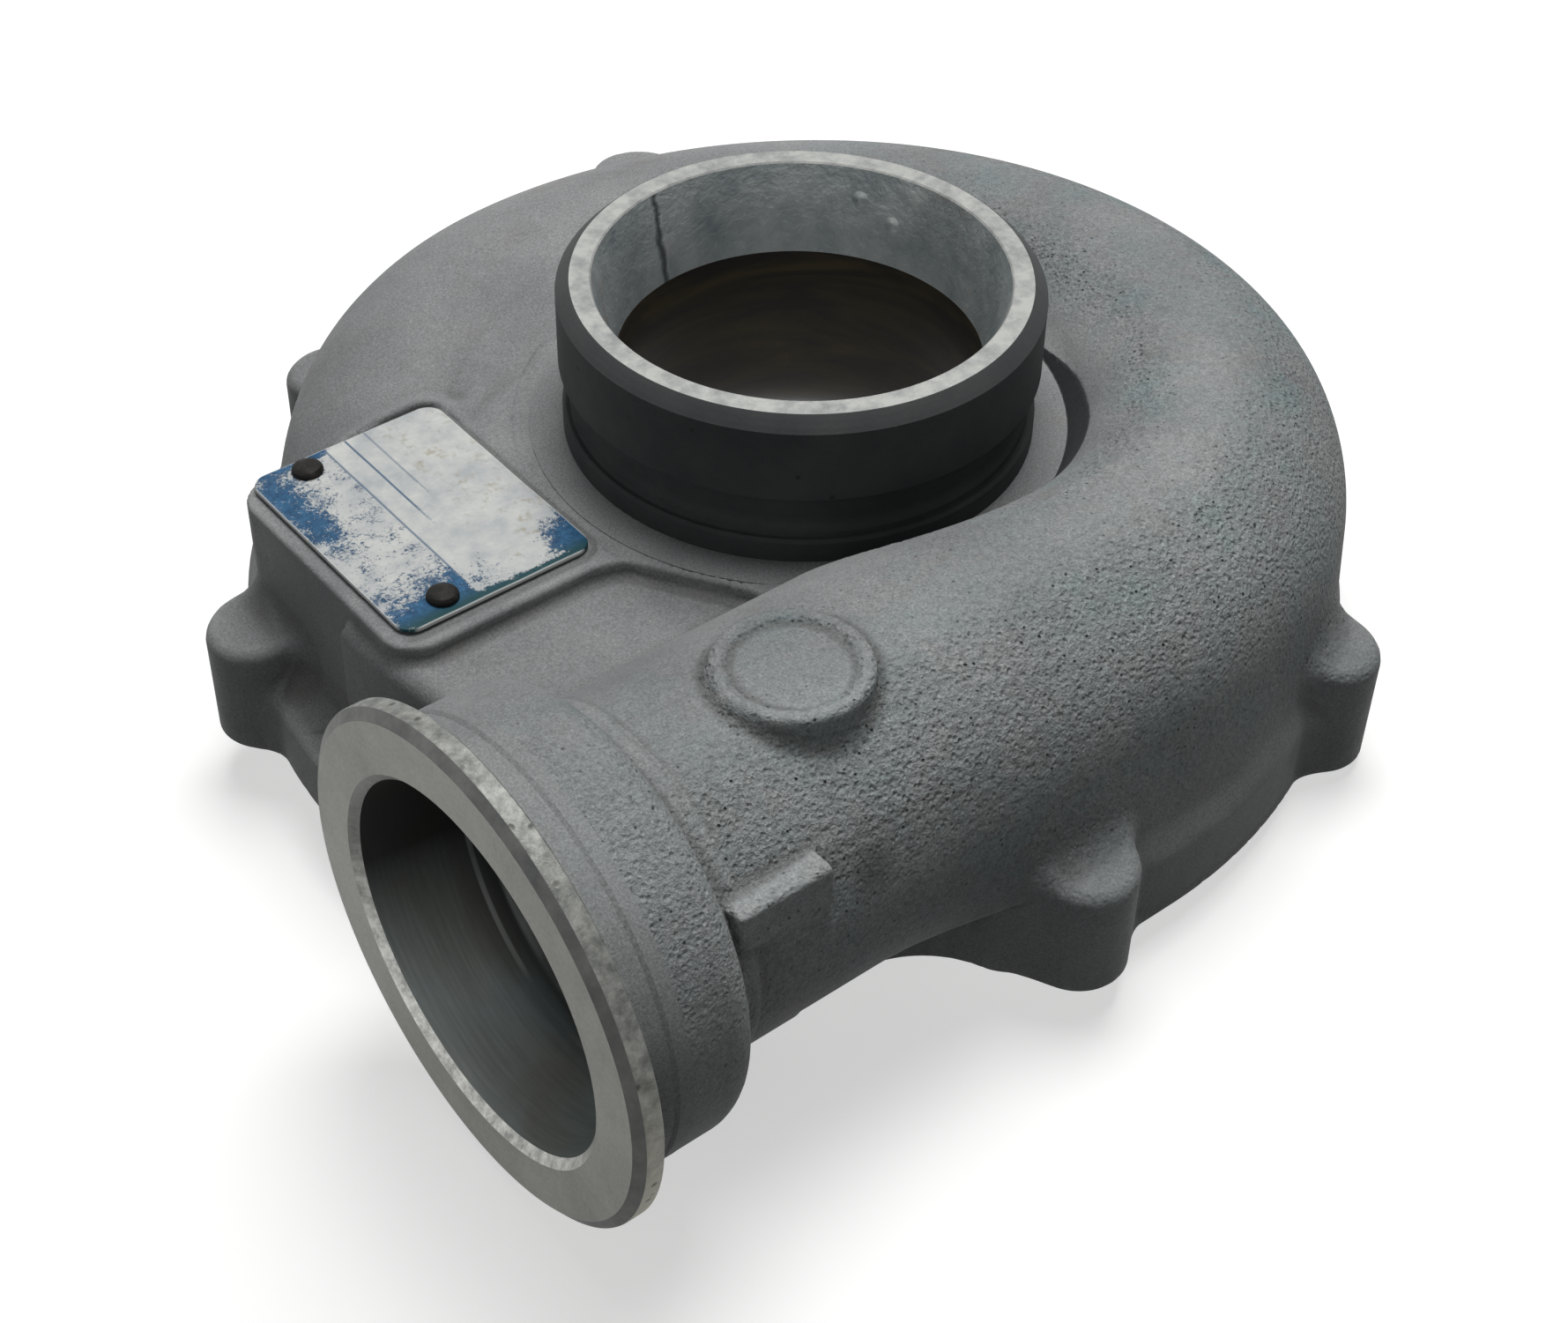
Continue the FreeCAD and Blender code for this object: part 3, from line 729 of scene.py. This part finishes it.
    # Painted glints, pin holes painted dark as shade, rubbed edges, painted shade and dirt in the fillets, and
    # painted shade on the groove wall
    for mask, tone in ((painted_glint, "#c4c5c2"), (hole, "#303231"), (wear, "#a9aaa8"), (fillet_shade_and_dirt, "#42423c"),
                       (wall, "#393b3c")):
        colour = add(tree, "Mix", {0: mask, 6: colour, 7: linear(tone)}, out=2, data_type="RGBA")

    # Relief: pebbles with narrow valleys, hand-tamped waves, grain, and the tool's circle round the ledge
    pit = add(tree, "TexVoronoi", {"Vector": place, "Scale": 760.0})
    pit = add(tree, "MapRange", {"Value": pit, "From Max": 0.42, "To Max": 0.45})
    lump = add(tree, "Math", {0: pit, 1: lump}, operation="ADD")
    lump = add(tree, "Math", {0: hole, 1: -0.4, 2: lump}, operation="MULTIPLY_ADD")
    relief = add(tree, "Bump", {"Strength": pebble, "Distance": 0.0009, "Height": lump})
    wave = add(tree, "TexNoise", {"Vector": place, "Scale": 170.0, "Detail": 2.0})
    ring = add(tree, "MapRange", {"Value": ring, "From Min": 0.0538, "From Max": 0.0543})
    deck = add(tree, "MapRange", {"Value": height, "From Min": 0.0462, "From Max": 0.0459})
    for strength, depth, form in ((0.4, 0.0006, wave), (0.8, 0.0001, grain), (deck, 0.0002, ring)):
        relief = add(tree, "Bump", {"Strength": strength, "Distance": depth, "Height": form, "Normal": relief})
    return surface(made, colour, relief)


def mottled(name, shine, noise, spread, tones, bump=None):
    """Plain metal: one noise (scale, detail, roughness), spread out between two tones, is its cloudiness and
    its relief. shine is roughness, metallic and specular; bump is strength and depth."""
    made, tree, place = material(name, *shine)
    scale, detail, rough = noise
    cloud = add(tree, "TexNoise", {"Vector": place, "Scale": scale, "Detail": detail, "Roughness": rough})
    cloud = add(tree, "MapRange", {"Value": cloud, "From Min": spread[0], "From Max": spread[1]})
    dark, light = map(linear, tones)
    colour = add(tree, "Mix", {0: cloud, 6: dark, 7: light}, out=2, data_type="RGBA")
    if bump is None:
        return surface(made, colour)
    return surface(made, colour, add(tree, "Bump", {"Strength": bump[0], "Distance": bump[1], "Height": cloud}))


def turned_collar():
    """Turned wall: nearly black grey as painted shade of the upright wall, with fine tool lines round it and a
    few pores.
    """
    made, tree, place = material("turned_collar", roughness=0.6, specular=0.08)
    cloud = add(tree, "TexNoise", {"Vector": place, "Scale": 60.0, "Detail": 6.0, "Roughness": 0.65})
    cloud = add(tree, "MapRange", {"Value": cloud, "From Min": 0.3, "From Max": 0.7})
    pore = add(tree, "TexVoronoi", {"Vector": place, "Scale": 150.0})
    pore = add(tree, "MapRange", {"Value": pore, "From Min": 0.1, "From Max": 0.04, "To Max": 0.7})
    # Nearly black grey: painted shade of the upright collar wall
    colour = linear("#3b3d3e")
    for mask, tone in ((cloud, "#484a4a"), (pore, "#2c2b28")):
        colour = add(tree, "Mix", {0: mask, 6: colour, 7: linear(tone)}, out=2, data_type="RGBA")
    lines = add(tree, "TexWave", {"Vector": place, "Scale": 300.0, "Distortion": 0.5, "Detail": 2.0},
                bands_direction="Z")
    relief = add(tree, "Bump", {"Strength": 0.5, "Distance": 0.00002, "Height": lines})
    grain = add(tree, "TexNoise", {"Vector": place, "Scale": 1500.0, "Detail": 2.0})
    relief = add(tree, "Bump", {"Strength": 0.6, "Distance": 0.00008, "Height": grain, "Normal": relief})
    return surface(made, colour, relief)


def bright_chamfer():
    """Chamfer at the mouth of the outlet: rubbed to bare metal, with painted highlights in flecks, and darkened
    towards the top by painted shade."""
    made, tree, place = material("bright_chamfer", roughness=0.36, metallic=0.75)
    # Flecks: painted highlights of bare metal, also its relief
    fleck = add(tree, "TexNoise", {"Vector": place, "Scale": 420.0, "Detail": 6.0, "Roughness": 0.75})
    fleck = add(tree, "MapRange", {"Value": fleck, "From Min": 0.36, "From Max": 0.62})
    height = add(tree, "SeparateXYZ", {0: place}, out=2)
    # Painted shade: darker towards the top of the chamfer
    painted_shade_above = add(tree, "MapRange", {"Value": height, "From Min": 0.012, "From Max": 0.036, "To Max": 0.85})
    colour = linear("#8f908d")
    for mask, tone in ((fleck, "#d2d2cd"), (painted_shade_above, "#3d3d3a")):
        colour = add(tree, "Mix", {0: mask, 6: colour, 7: linear(tone)}, out=2, data_type="RGBA")
    return surface(made, colour, add(tree, "Bump", {"Strength": 0.6, "Distance": 0.0001, "Height": fleck}))


def cored_cone():
    """Inlet cone left as the core made it: mottled bluish grey with soft lumps, a seam down one side and
    two blisters."""
    made, tree, place = material("cored_cone", roughness=0.42, metallic=0.3, specular=0.5)
    cloud = add(tree, "TexNoise", {"Vector": place, "Scale": 90.0, "Detail": 7.0, "Roughness": 0.68})
    cloud = add(tree, "MapRange", {"Value": cloud, "From Min": 0.32, "From Max": 0.68})
    warm = add(tree, "TexNoise", {"Vector": place, "Scale": 70.0, "Detail": 3.0, "Distortion": 1.0})
    warm = add(tree, "MapRange", {"Value": warm, "From Min": 0.55, "From Max": 0.75, "To Max": 0.5})

    # Seam: a wandering line down the cone's back, as a narrow band of x
    wander = add(tree, "TexNoise", {"Vector": place, "Scale": 260.0, "Detail": 4.0})
    axes = add(tree, "SeparateXYZ", {0: place})
    across = add(tree, "Math", {0: wander, 1: 0.0024, 2: axes}, operation="MULTIPLY_ADD")
    across = add(tree, "Math", {0: across, 1: 0.0042}, operation="ADD")
    across = add(tree, "Math", {0: across}, operation="ABSOLUTE")
    seam = add(tree, "MapRange", {"Value": across, "From Min": 0.0011, "From Max": 0.0002})
    behind = add(tree, "MapRange", {"Value": axes.node.outputs[1], "From Min": 0.02, "From Max": 0.03})
    seam = add(tree, "Math", {0: seam, 1: behind}, operation="MULTIPLY")
    colour = linear("#8a9598")
    for mask, tone in ((cloud, "#bec3c2"), (warm, "#8a8279"), (seam, "#595d5e")):
        colour = add(tree, "Mix", {0: mask, 6: colour, 7: linear(tone)}, out=2, data_type="RGBA")

    height = add(tree, "Math", {0: seam, 1: -1.5, 2: cloud}, operation="MULTIPLY_ADD")
    for blister in ((0.031, 0.0202, 0.0705), (0.0336, 0.0136, 0.067)):
        away = add(tree, "VectorMath", {0: place, 1: blister}, out="Value", operation="DISTANCE")
        bump = add(tree, "MapRange", {"Value": away, "From Min": 0.0016, "From Max": 0.0004, "To Max": 1.6})
        height = add(tree, "Math", {0: height, 1: bump}, operation="ADD")
    relief = add(tree, "Bump", {"Strength": 0.6, "Distance": 0.0004, "Height": height})
    fine = add(tree, "TexNoise", {"Vector": place, "Scale": 900.0, "Detail": 3.0})
    relief = add(tree, "Bump", {"Strength": 0.6, "Distance": 0.00015, "Height": fine, "Normal": relief})
    return surface(made, colour, relief)


def oily_bore():
    """Bored aluminium with old oil on it: nearly black as painted shade deep in the throat, with yellow-brown
    films in streaks round the bore.
    """
    made, tree, place = material("oily_bore", roughness=0.4, metallic=0.1, specular=0.2)
    bands = add(tree, "Mapping", {"Vector": place, "Scale": (1.0, 1.0, 5.0)})
    film = add(tree, "TexNoise", {"Vector": bands, "Scale": 28.0, "Detail": 5.0, "Distortion": 0.8})
    film = add(tree, "MapRange", {"Value": film, "From Min": 0.42, "From Max": 0.7})
    # Nearly black ground: painted shade deep in the throat, under yellow-brown films
    colour = {0: film, 6: linear("#282521"), 7: linear("#4d4431")}
    return surface(made, add(tree, "Mix", colour, out=2, data_type="RGBA"))


def faced_aluminium():
    """Sealing face cut in a lathe: warm light grey, with tool lines about the tube's axis and dull patches."""
    made, tree, place = material("faced_aluminium", roughness=0.5, metallic=0.35, specular=0.2)
    cloud = add(tree, "TexNoise", {"Vector": place, "Scale": 55.0, "Detail": 7.0, "Roughness": 0.65})
    cloud = add(tree, "MapRange", {"Value": cloud, "From Min": 0.3, "From Max": 0.7})
    colour = add(tree, "Mix", {0: cloud, 6: linear("#93938e"), 7: linear("#aeaea7")}, out=2, data_type="RGBA")
    fine = add(tree, "TexNoise", {"Vector": place, "Scale": 1300.0, "Detail": 3.0})
    speck = add(tree, "MapRange", {"Value": fine, "From Min": 0.3, "From Max": 0.7, "To Min": 0.9,
                                   "To Max": 1.08})
    colour = add(tree, "Mix", {0: 1.0, 6: colour, 7: speck}, out=2, data_type="RGBA", blend_type="MULTIPLY")
    centre = (OUTLET_FACE_X * MM, OUTLET_Y * MM, OUTLET_Z * MM)
    radius = add(tree, "VectorMath", {0: place, 1: centre}, out="Value", operation="DISTANCE")
    lines = add(tree, "Math", {0: radius, 1: 9000.0}, operation="MULTIPLY")
    lines = add(tree, "Math", {0: lines}, operation="SINE")
    relief = add(tree, "Bump", {"Strength": 0.4, "Distance": 0.00001, "Height": lines})
    relief = add(tree, "Bump", {"Strength": 0.4, "Distance": 0.00006, "Height": fine, "Normal": relief})
    return surface(made, colour, relief)


def pitted_rim():
    """Rim under the clamp: bright rubbed metal, mottled every few millimetres, pitted by corrosion, and lighter
    and yellowish towards the bottom: painted light there, with the yellow of oil that has run down it."""
    made, tree, place = material("pitted_rim", roughness=0.5, metallic=0.4, specular=0.25)
    mottle = add(tree, "TexNoise", {"Vector": place, "Scale": 330.0, "Detail": 7.0, "Roughness": 0.72})
    bright = add(tree, "MapRange", {"Value": mottle, "From Min": 0.36, "From Max": 0.66})
    height = add(tree, "SeparateXYZ", {0: place}, out=2)
    # Lighter and yellowish towards the bottom: painted light, with the yellow of oil
    oil = add(tree, "MapRange", {"Value": height, "From Min": 0.05, "From Max": 0.0, "To Max": 0.9})
    pit = add(tree, "TexVoronoi", {"Vector": place, "Scale": 260.0})
    pit = add(tree, "MapRange", {"Value": pit, "From Min": 0.2, "From Max": 0.08, "To Max": 0.8})
    colour = linear("#5d5f5c")
    for mask, tone in ((bright, "#989994"), (oil, "#bdb9a8"), (pit, "#3a3a36")):
        colour = add(tree, "Mix", {0: mask, 6: colour, 7: linear(tone)}, out=2, data_type="RGBA")
    height = add(tree, "Math", {0: pit, 1: -1.0, 2: mottle}, operation="MULTIPLY_ADD")
    return surface(made, colour, add(tree, "Bump", {"Strength": 0.7, "Distance": 0.0003, "Height": height}))


def scored_bore():
    """Outlet bore: turned metal with scores round it, light greenish grey, darkened to black above and further
    in by painted shade, with two rings of painted highlight further in."""
    made, tree, place = material("scored_bore", roughness=0.42, metallic=0.4)
    cloud = add(tree, "TexNoise", {"Vector": place, "Scale": 45.0, "Detail": 5.0, "Distortion": 0.7})
    cloud = add(tree, "MapRange", {"Value": cloud, "From Min": 0.35, "From Max": 0.65})
    depth = add(tree, "SeparateXYZ", {0: place})
    # Painted shade: black towards the top of the bore
    painted_shade_above = add(tree, "MapRange", {"Value": depth.node.outputs[2], "From Min": 0.006, "From Max": 0.03,
                                   "To Max": 0.97})
    # Painted shade: darker further in
    deep = add(tree, "MapRange", {"Value": depth, "From Min": -0.108, "From Max": -0.1, "To Max": 0.8})
    masks = [(cloud, "#a3a49e"), (painted_shade_above, "#1b1a18"), (deep, "#1d2020")]
    # Two rings of painted highlight further in
    for at, wide in ((-0.1025, 0.0003), (-0.0985, 0.0006)):
        line = add(tree, "Math", {0: depth, 1: -at}, operation="ADD")
        line = add(tree, "Math", {0: line}, operation="ABSOLUTE")
        line = add(tree, "MapRange", {"Value": line, "From Min": 2 * wide, "From Max": wide, "To Max": 0.7})
        line = add(tree, "Math", {0: line, 1: cloud}, operation="MULTIPLY")
        masks.append((line, "#c2c6c4"))
    colour = linear("#aab6b6")
    for mask, tone in masks:
        colour = add(tree, "Mix", {0: mask, 6: colour, 7: linear(tone)}, out=2, data_type="RGBA")
    bands = add(tree, "Mapping", {"Vector": place, "Scale": (1.0, 0.06, 0.06)})
    score = add(tree, "TexNoise", {"Vector": bands, "Scale": 1400.0, "Detail": 4.0})
    shade = add(tree, "MapRange", {"Value": score, "From Min": 0.3, "From Max": 0.7, "To Min": 0.86,
                                   "To Max": 1.08})
    colour = add(tree, "Mix", {0: 1.0, 6: colour, 7: shade}, out=2, data_type="RGBA", blend_type="MULTIPLY")
    return surface(made, colour, add(tree, "Bump", {"Strength": 0.5, "Distance": 0.00005, "Height": score}))


def worn_print():
    """Printed aluminium sheet: blue ink, mostly rubbed off to silver white in a fine speckle, kept in the
    corners and along the lower edge; three rules run the length of the sheet with clean bars between."""
    made, tree, place = material("worn_print", roughness=0.5, specular=0.15)
    centre = tuple(-c * MM for c in PLATE_CENTRE) + (0.0,)
    local = add(tree, "VectorMath", {0: place, 1: centre}, operation="ADD")
    across = add(tree, "SeparateXYZ", {0: local})
    along = across.node.outputs[1]

    # Silver ground with faint brown stains on the right half
    cloud = add(tree, "TexNoise", {"Vector": local, "Scale": 130.0, "Detail": 6.0, "Roughness": 0.7})
    cloud = add(tree, "MapRange", {"Value": cloud, "From Min": 0.35, "From Max": 0.65})
    stain = add(tree, "TexNoise", {"Vector": local, "Scale": 420.0, "Detail": 3.0, "Roughness": 0.6})
    stain = add(tree, "MapRange", {"Value": stain, "From Min": 0.56, "From Max": 0.7, "To Max": 0.6})
    right = add(tree, "MapRange", {"Value": across, "From Min": 0.004, "From Max": 0.008})
    stain = add(tree, "Math", {0: stain, 1: right}, operation="MULTIPLY")

    # Ink left in patches, and more of it on the left and low down
    left = add(tree, "MapRange", {"Value": across, "From Min": -0.0036, "From Max": -0.0044, "To Max": 0.2})
    low = add(tree, "MapRange", {"Value": along, "From Min": -0.012, "From Max": -0.024, "To Max": 0.15})
    full = add(tree, "Math", {0: left, 1: low}, operation="ADD")
    for x, y, wide, long, most in INK_PATCHES:
        here = add(tree, "VectorMath", {0: local, 1: (-x * MM, -y * MM, 0)}, operation="ADD")
        here = add(tree, "VectorMath", {0: here, 1: (1000 / wide, 1000 / long, 0)}, operation="MULTIPLY")
        here = add(tree, "VectorMath", {0: here}, out="Value", operation="LENGTH")
        here = add(tree, "MapRange", {"Value": here, "From Min": 1.5, "From Max": 0.2, "To Max": most})
        full = add(tree, "Math", {0: full, 1: here}, operation="ADD")
    flake = add(tree, "TexNoise", {"Vector": local, "Scale": 330.0, "Detail": 9.0, "Roughness": 0.85})
    speckle = add(tree, "TexNoise", {"Vector": local, "Scale": 1300.0, "Detail": 4.0, "Roughness": 0.8})
    ink = add(tree, "Math", {0: speckle, 1: 0.6, 2: full}, operation="MULTIPLY_ADD")
    ink = add(tree, "Math", {0: flake, 1: 1.0, 2: ink}, operation="MULTIPLY_ADD")
    ink = add(tree, "MapRange", {"Value": ink, "From Min": 1.04, "From Max": 1.12})
    hue = add(tree, "MapRange", {"Value": full, "From Min": 0.15, "From Max": 0.4})
    dark = add(tree, "TexNoise", {"Vector": local, "Scale": 700.0, "Detail": 5.0, "Roughness": 0.8})
    dark = add(tree, "MapRange", {"Value": dark, "From Min": 0.4, "From Max": 0.6, "To Max": 0.85})
    deep = add(tree, "MapRange", {"Value": along, "From Min": -0.0225, "From Max": -0.0255})
    blue, colour = linear("#4f5f72"), linear("#a5a9ab")
    for mask, tone in ((hue, "#2f5d80"), (dark, "#173a58"), (deep, "#153c42")):
        blue = add(tree, "Mix", {0: mask, 6: blue, 7: linear(tone)}, out=2, data_type="RGBA")
    masks = [(cloud, linear("#c4c5c1")), (stain, linear("#958c79")), (ink, blue)]

    # Rules 0.4 mm wide, each rubbed away from one end, and the bare cut edge
    for x, strength, end in PRINT_RULES:
        line = add(tree, "Math", {0: across, 1: -x * MM}, operation="ADD")
        line = add(tree, "Math", {0: line}, operation="ABSOLUTE")
        line = add(tree, "MapRange", {"Value": line, "From Min": 0.00032, "From Max": 0.00012,
                                      "To Max": strength})
        kept = add(tree, "Math", {0: speckle, 1: 0.02, 2: along}, operation="MULTIPLY_ADD")
        kept = add(tree, "MapRange", {"Value": kept, "From Min": end * MM, "From Max": (end + 6) * MM})
        line = add(tree, "Math", {0: line, 1: kept}, operation="MULTIPLY")
        masks.append((line, linear("#3a5670")))
    reach = add(tree, "VectorMath", {0: local}, operation="ABSOLUTE")
    reach = add(tree, "VectorMath", {0: reach, 1: tuple(-c / 2 * MM for c in PLATE_SIZE)}, operation="ADD")
    reach = add(tree, "SeparateXYZ", {0: reach})
    rim = add(tree, "Math", {0: reach, 1: reach.node.outputs[1]}, operation="MAXIMUM")
    rim = add(tree, "MapRange", {"Value": rim, "From Min": -0.0004, "From Max": -0.0001, "To Max": 0.8})
    for mask, tone in masks + [(rim, linear("#c9cbc9"))]:
        colour = add(tree, "Mix", {0: mask, 6: colour, 7: tone}, out=2, data_type="RGBA")
    relief = add(tree, "Bump", {"Strength": 0.5, "Distance": 0.00005, "Height": ink}, invert=True)
    return surface(made, colour, relief)


def resting_plane(points):
    """Plane that the part stands on: of the planes through three low points, one with every point above it
    and the centre of mass inside its triangle. Gives its normal and height over the origin."""
    turn = np.arange(0, 2 * math.pi, 0.15)
    low = [points[np.argmin(points @ (math.cos(a) * tilt, math.sin(a) * tilt, 1))]
           for tilt in (0.12, 0.03) for a in turn]
    low = np.unique(np.round(low, 3), axis=0)
    best = None
    for a, b, c in combinations(low, 3):
        normal = np.cross(b - a, c - a)
        size = np.linalg.norm(normal)
        if size < 500 or abs(normal[2]) < 0.9 * size:
            continue
        normal *= np.sign(normal[2]) / size
        height = normal @ a
        if (points @ normal).min() < height - 0.05:
            continue
        sides = [np.cross(q - p, CENTRE_OF_MASS - p) @ normal for p, q in ((a, b), (b, c), (c, a))]
        if min(sides) > 0 or max(sides) < 0:
            best = (normal, height)
    return best or (np.array([0.0, 0.0, 1.0]), points[:, 2].min())


def aim(thing, direction, roll=0.0):
    """Turns an object's -Z along a direction, its X level and then rolled."""
    forward = np.array(direction) / np.linalg.norm(direction)
    right = np.cross(forward, (0, 0, 1))
    right /= np.linalg.norm(right)
    up = np.cross(right, forward)
    matrix = np.eye(4)
    matrix[:3, 0] = right * math.cos(roll) + up * math.sin(roll)
    matrix[:3, 1] = up * math.cos(roll) - right * math.sin(roll)
    matrix[:3, 2] = -forward
    matrix[:3, 3] = thing.location
    thing.matrix_world = Matrix(matrix.tolist())


def seen_directly(tree):
    """1 for rays that show the background to the eye, in metal or through glass, and 0 for all others."""
    path = add(tree, "LightPath", out="Is Camera Ray").node
    seen = path.outputs["Is Camera Ray"]
    for kind in ("Is Glossy Ray", "Is Transmission Ray"):
        seen = add(tree, "Math", {0: seen, 1: path.outputs[kind]}, operation="MAXIMUM")
    return seen


def build_floor(normal, height):
    """Pale floor as a flat sheet in the resting plane: white to the eye and in reflections, with the part's
    shadow on it, and dim to the diffuse light that it would throw back up."""
    right = np.cross((0, 1, 0), normal)
    right /= np.linalg.norm(right)
    front = np.cross(normal, right)
    grid = np.array([(-1, -1), (1, -1), (1, 1), (-1, 1)]) * FLOOR_HALF
    corners = grid[:, :1] * right + grid[:, 1:] * front + normal * height
    mesh = bpy.data.meshes.new("floor")
    mesh.from_pydata(corners * MM, [], [(0, 1, 2, 3)])
    floor = bpy.data.objects.new("floor", mesh)
    bpy.context.scene.collection.objects.link(floor)
    made = bpy.data.materials.new("pale_floor")
    made.use_nodes = True
    tree = made.node_tree
    pale = add(tree, "BsdfDiffuse", {"Color": linear("#c4c4c3")})
    glow = add(tree, "Emission", {"Color": linear("#ffffff"), "Strength": 0.55})
    pale = add(tree, "AddShader", {0: pale, 1: glow})
    dim = add(tree, "BsdfDiffuse", {"Color": linear("#424242")})
    both = add(tree, "MixShader", {0: seen_directly(tree), 1: dim, 2: pale})
    tree.links.new(both, tree.nodes["Material Output"].inputs["Surface"])
    mesh.materials.append(made)


def build_light():
    """A large softbox over the part, a little behind it, and a weak one before the outlet, in a dim room
    that reflects as white."""
    world = bpy.data.worlds.new("studio")
    world.use_nodes = True
    bpy.context.scene.world = world
    tree = world.node_tree
    strength = add(tree, "MapRange", {"Value": seen_directly(tree), "To Min": ROOM_LIGHT, "To Max": 1.0})
    tree.links.new(strength, tree.nodes["Background"].inputs["Strength"])
    tree.nodes["Background"].inputs["Color"].default_value = linear("#ffffff")

    for name, at, size, power in LAMPS:
        lamp = bpy.data.lights.new(name, "AREA")
        lamp.shape = "SQUARE"
        lamp.size = size
        lamp.energy = power
        softbox = bpy.data.objects.new(name, lamp)
        softbox.location = at
        bpy.context.scene.collection.objects.link(softbox)
        aim(softbox, -np.array(at))


def build_camera():
    """Camera of the photograph: place, direction and roll were fitted to the turned circles."""
    camera = bpy.data.cameras.new("camera")
    camera.lens = CAMERA_LENS
    camera.sensor_width = 36.0
    seen = bpy.data.objects.new("camera", camera)
    seen.location = np.array(CAMERA_AT) * MM
    bpy.context.scene.collection.objects.link(seen)
    aim(seen, CAMERA_FORWARD, CAMERA_ROLL)
    bpy.context.scene.camera = seen
    bpy.context.scene.view_settings.view_transform = "Standard"


def dress(piece, node, finishes):
    """Gives a piece its finishes and body, and hides the imported node that it stands in for."""
    for finish in finishes:
        piece.data.materials.append(finish)
    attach(piece, "root")
    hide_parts(node)


# Sand-cast skin, and bright turned faces under the housing
skin = sand_cast_aluminium()
seat = mottled("turned_seat", (0.4, 0.7), (80.0, 5.0, 0.5), (0.3, 0.7), ("#8d8e8b", "#a5a6a3"))
# Lip that every hose has rubbed: bare bright aluminium, breaking off in a ragged line to dull skin
rubbed = mottled("rubbed_lip", (0.45, 0.2, 0.3), (240.0, 6.0, 0.7), (0.34, 0.6), ("#828483", "#a9aaa6"),
                 (0.5, 0.0001))
# Outer chamfer of the outlet: the same cut metal, duller and darker where the clamp has sat
dull = mottled("dull_chamfer", (0.55, 0.1, 0.2), (150.0, 6.0, 0.7), (0.35, 0.7), ("#686a69", "#8c8d89"),
               (0.4, 0.0001))
# Blackened steel rivets: dark brown grey, a little rubbed on the crown
steel = mottled("blackened_steel", (0.55, 0.0, 0.12), (420.0, 5.0, 0.65), (0.5, 0.75),
                ("#171615", "#322f2d"), (0.5, 0.0001))
housing = build_housing()
inlet_ring = build_inlet_ring()
outlet_ring = build_outlet_ring()
dress(housing, "housing", [skin, seat])
dress(inlet_ring, "housing", [seat, turned_collar(), rubbed, cored_cone(), oily_bore(), skin])
dress(outlet_ring, "housing",
      [faced_aluminium(), dull, pitted_rim(), bright_chamfer(), skin, scored_bore()])
dress(build_plate(), "name_plate", [worn_print()])
for rivet in build_rivets():
    dress(rivet, "plate_rivets", [steel])

low_pieces = [millimetres(piece.data.vertices, "co") for piece in (housing, outlet_ring)]
build_floor(*resting_plane(np.concatenate(low_pieces)))
build_light()
build_camera()
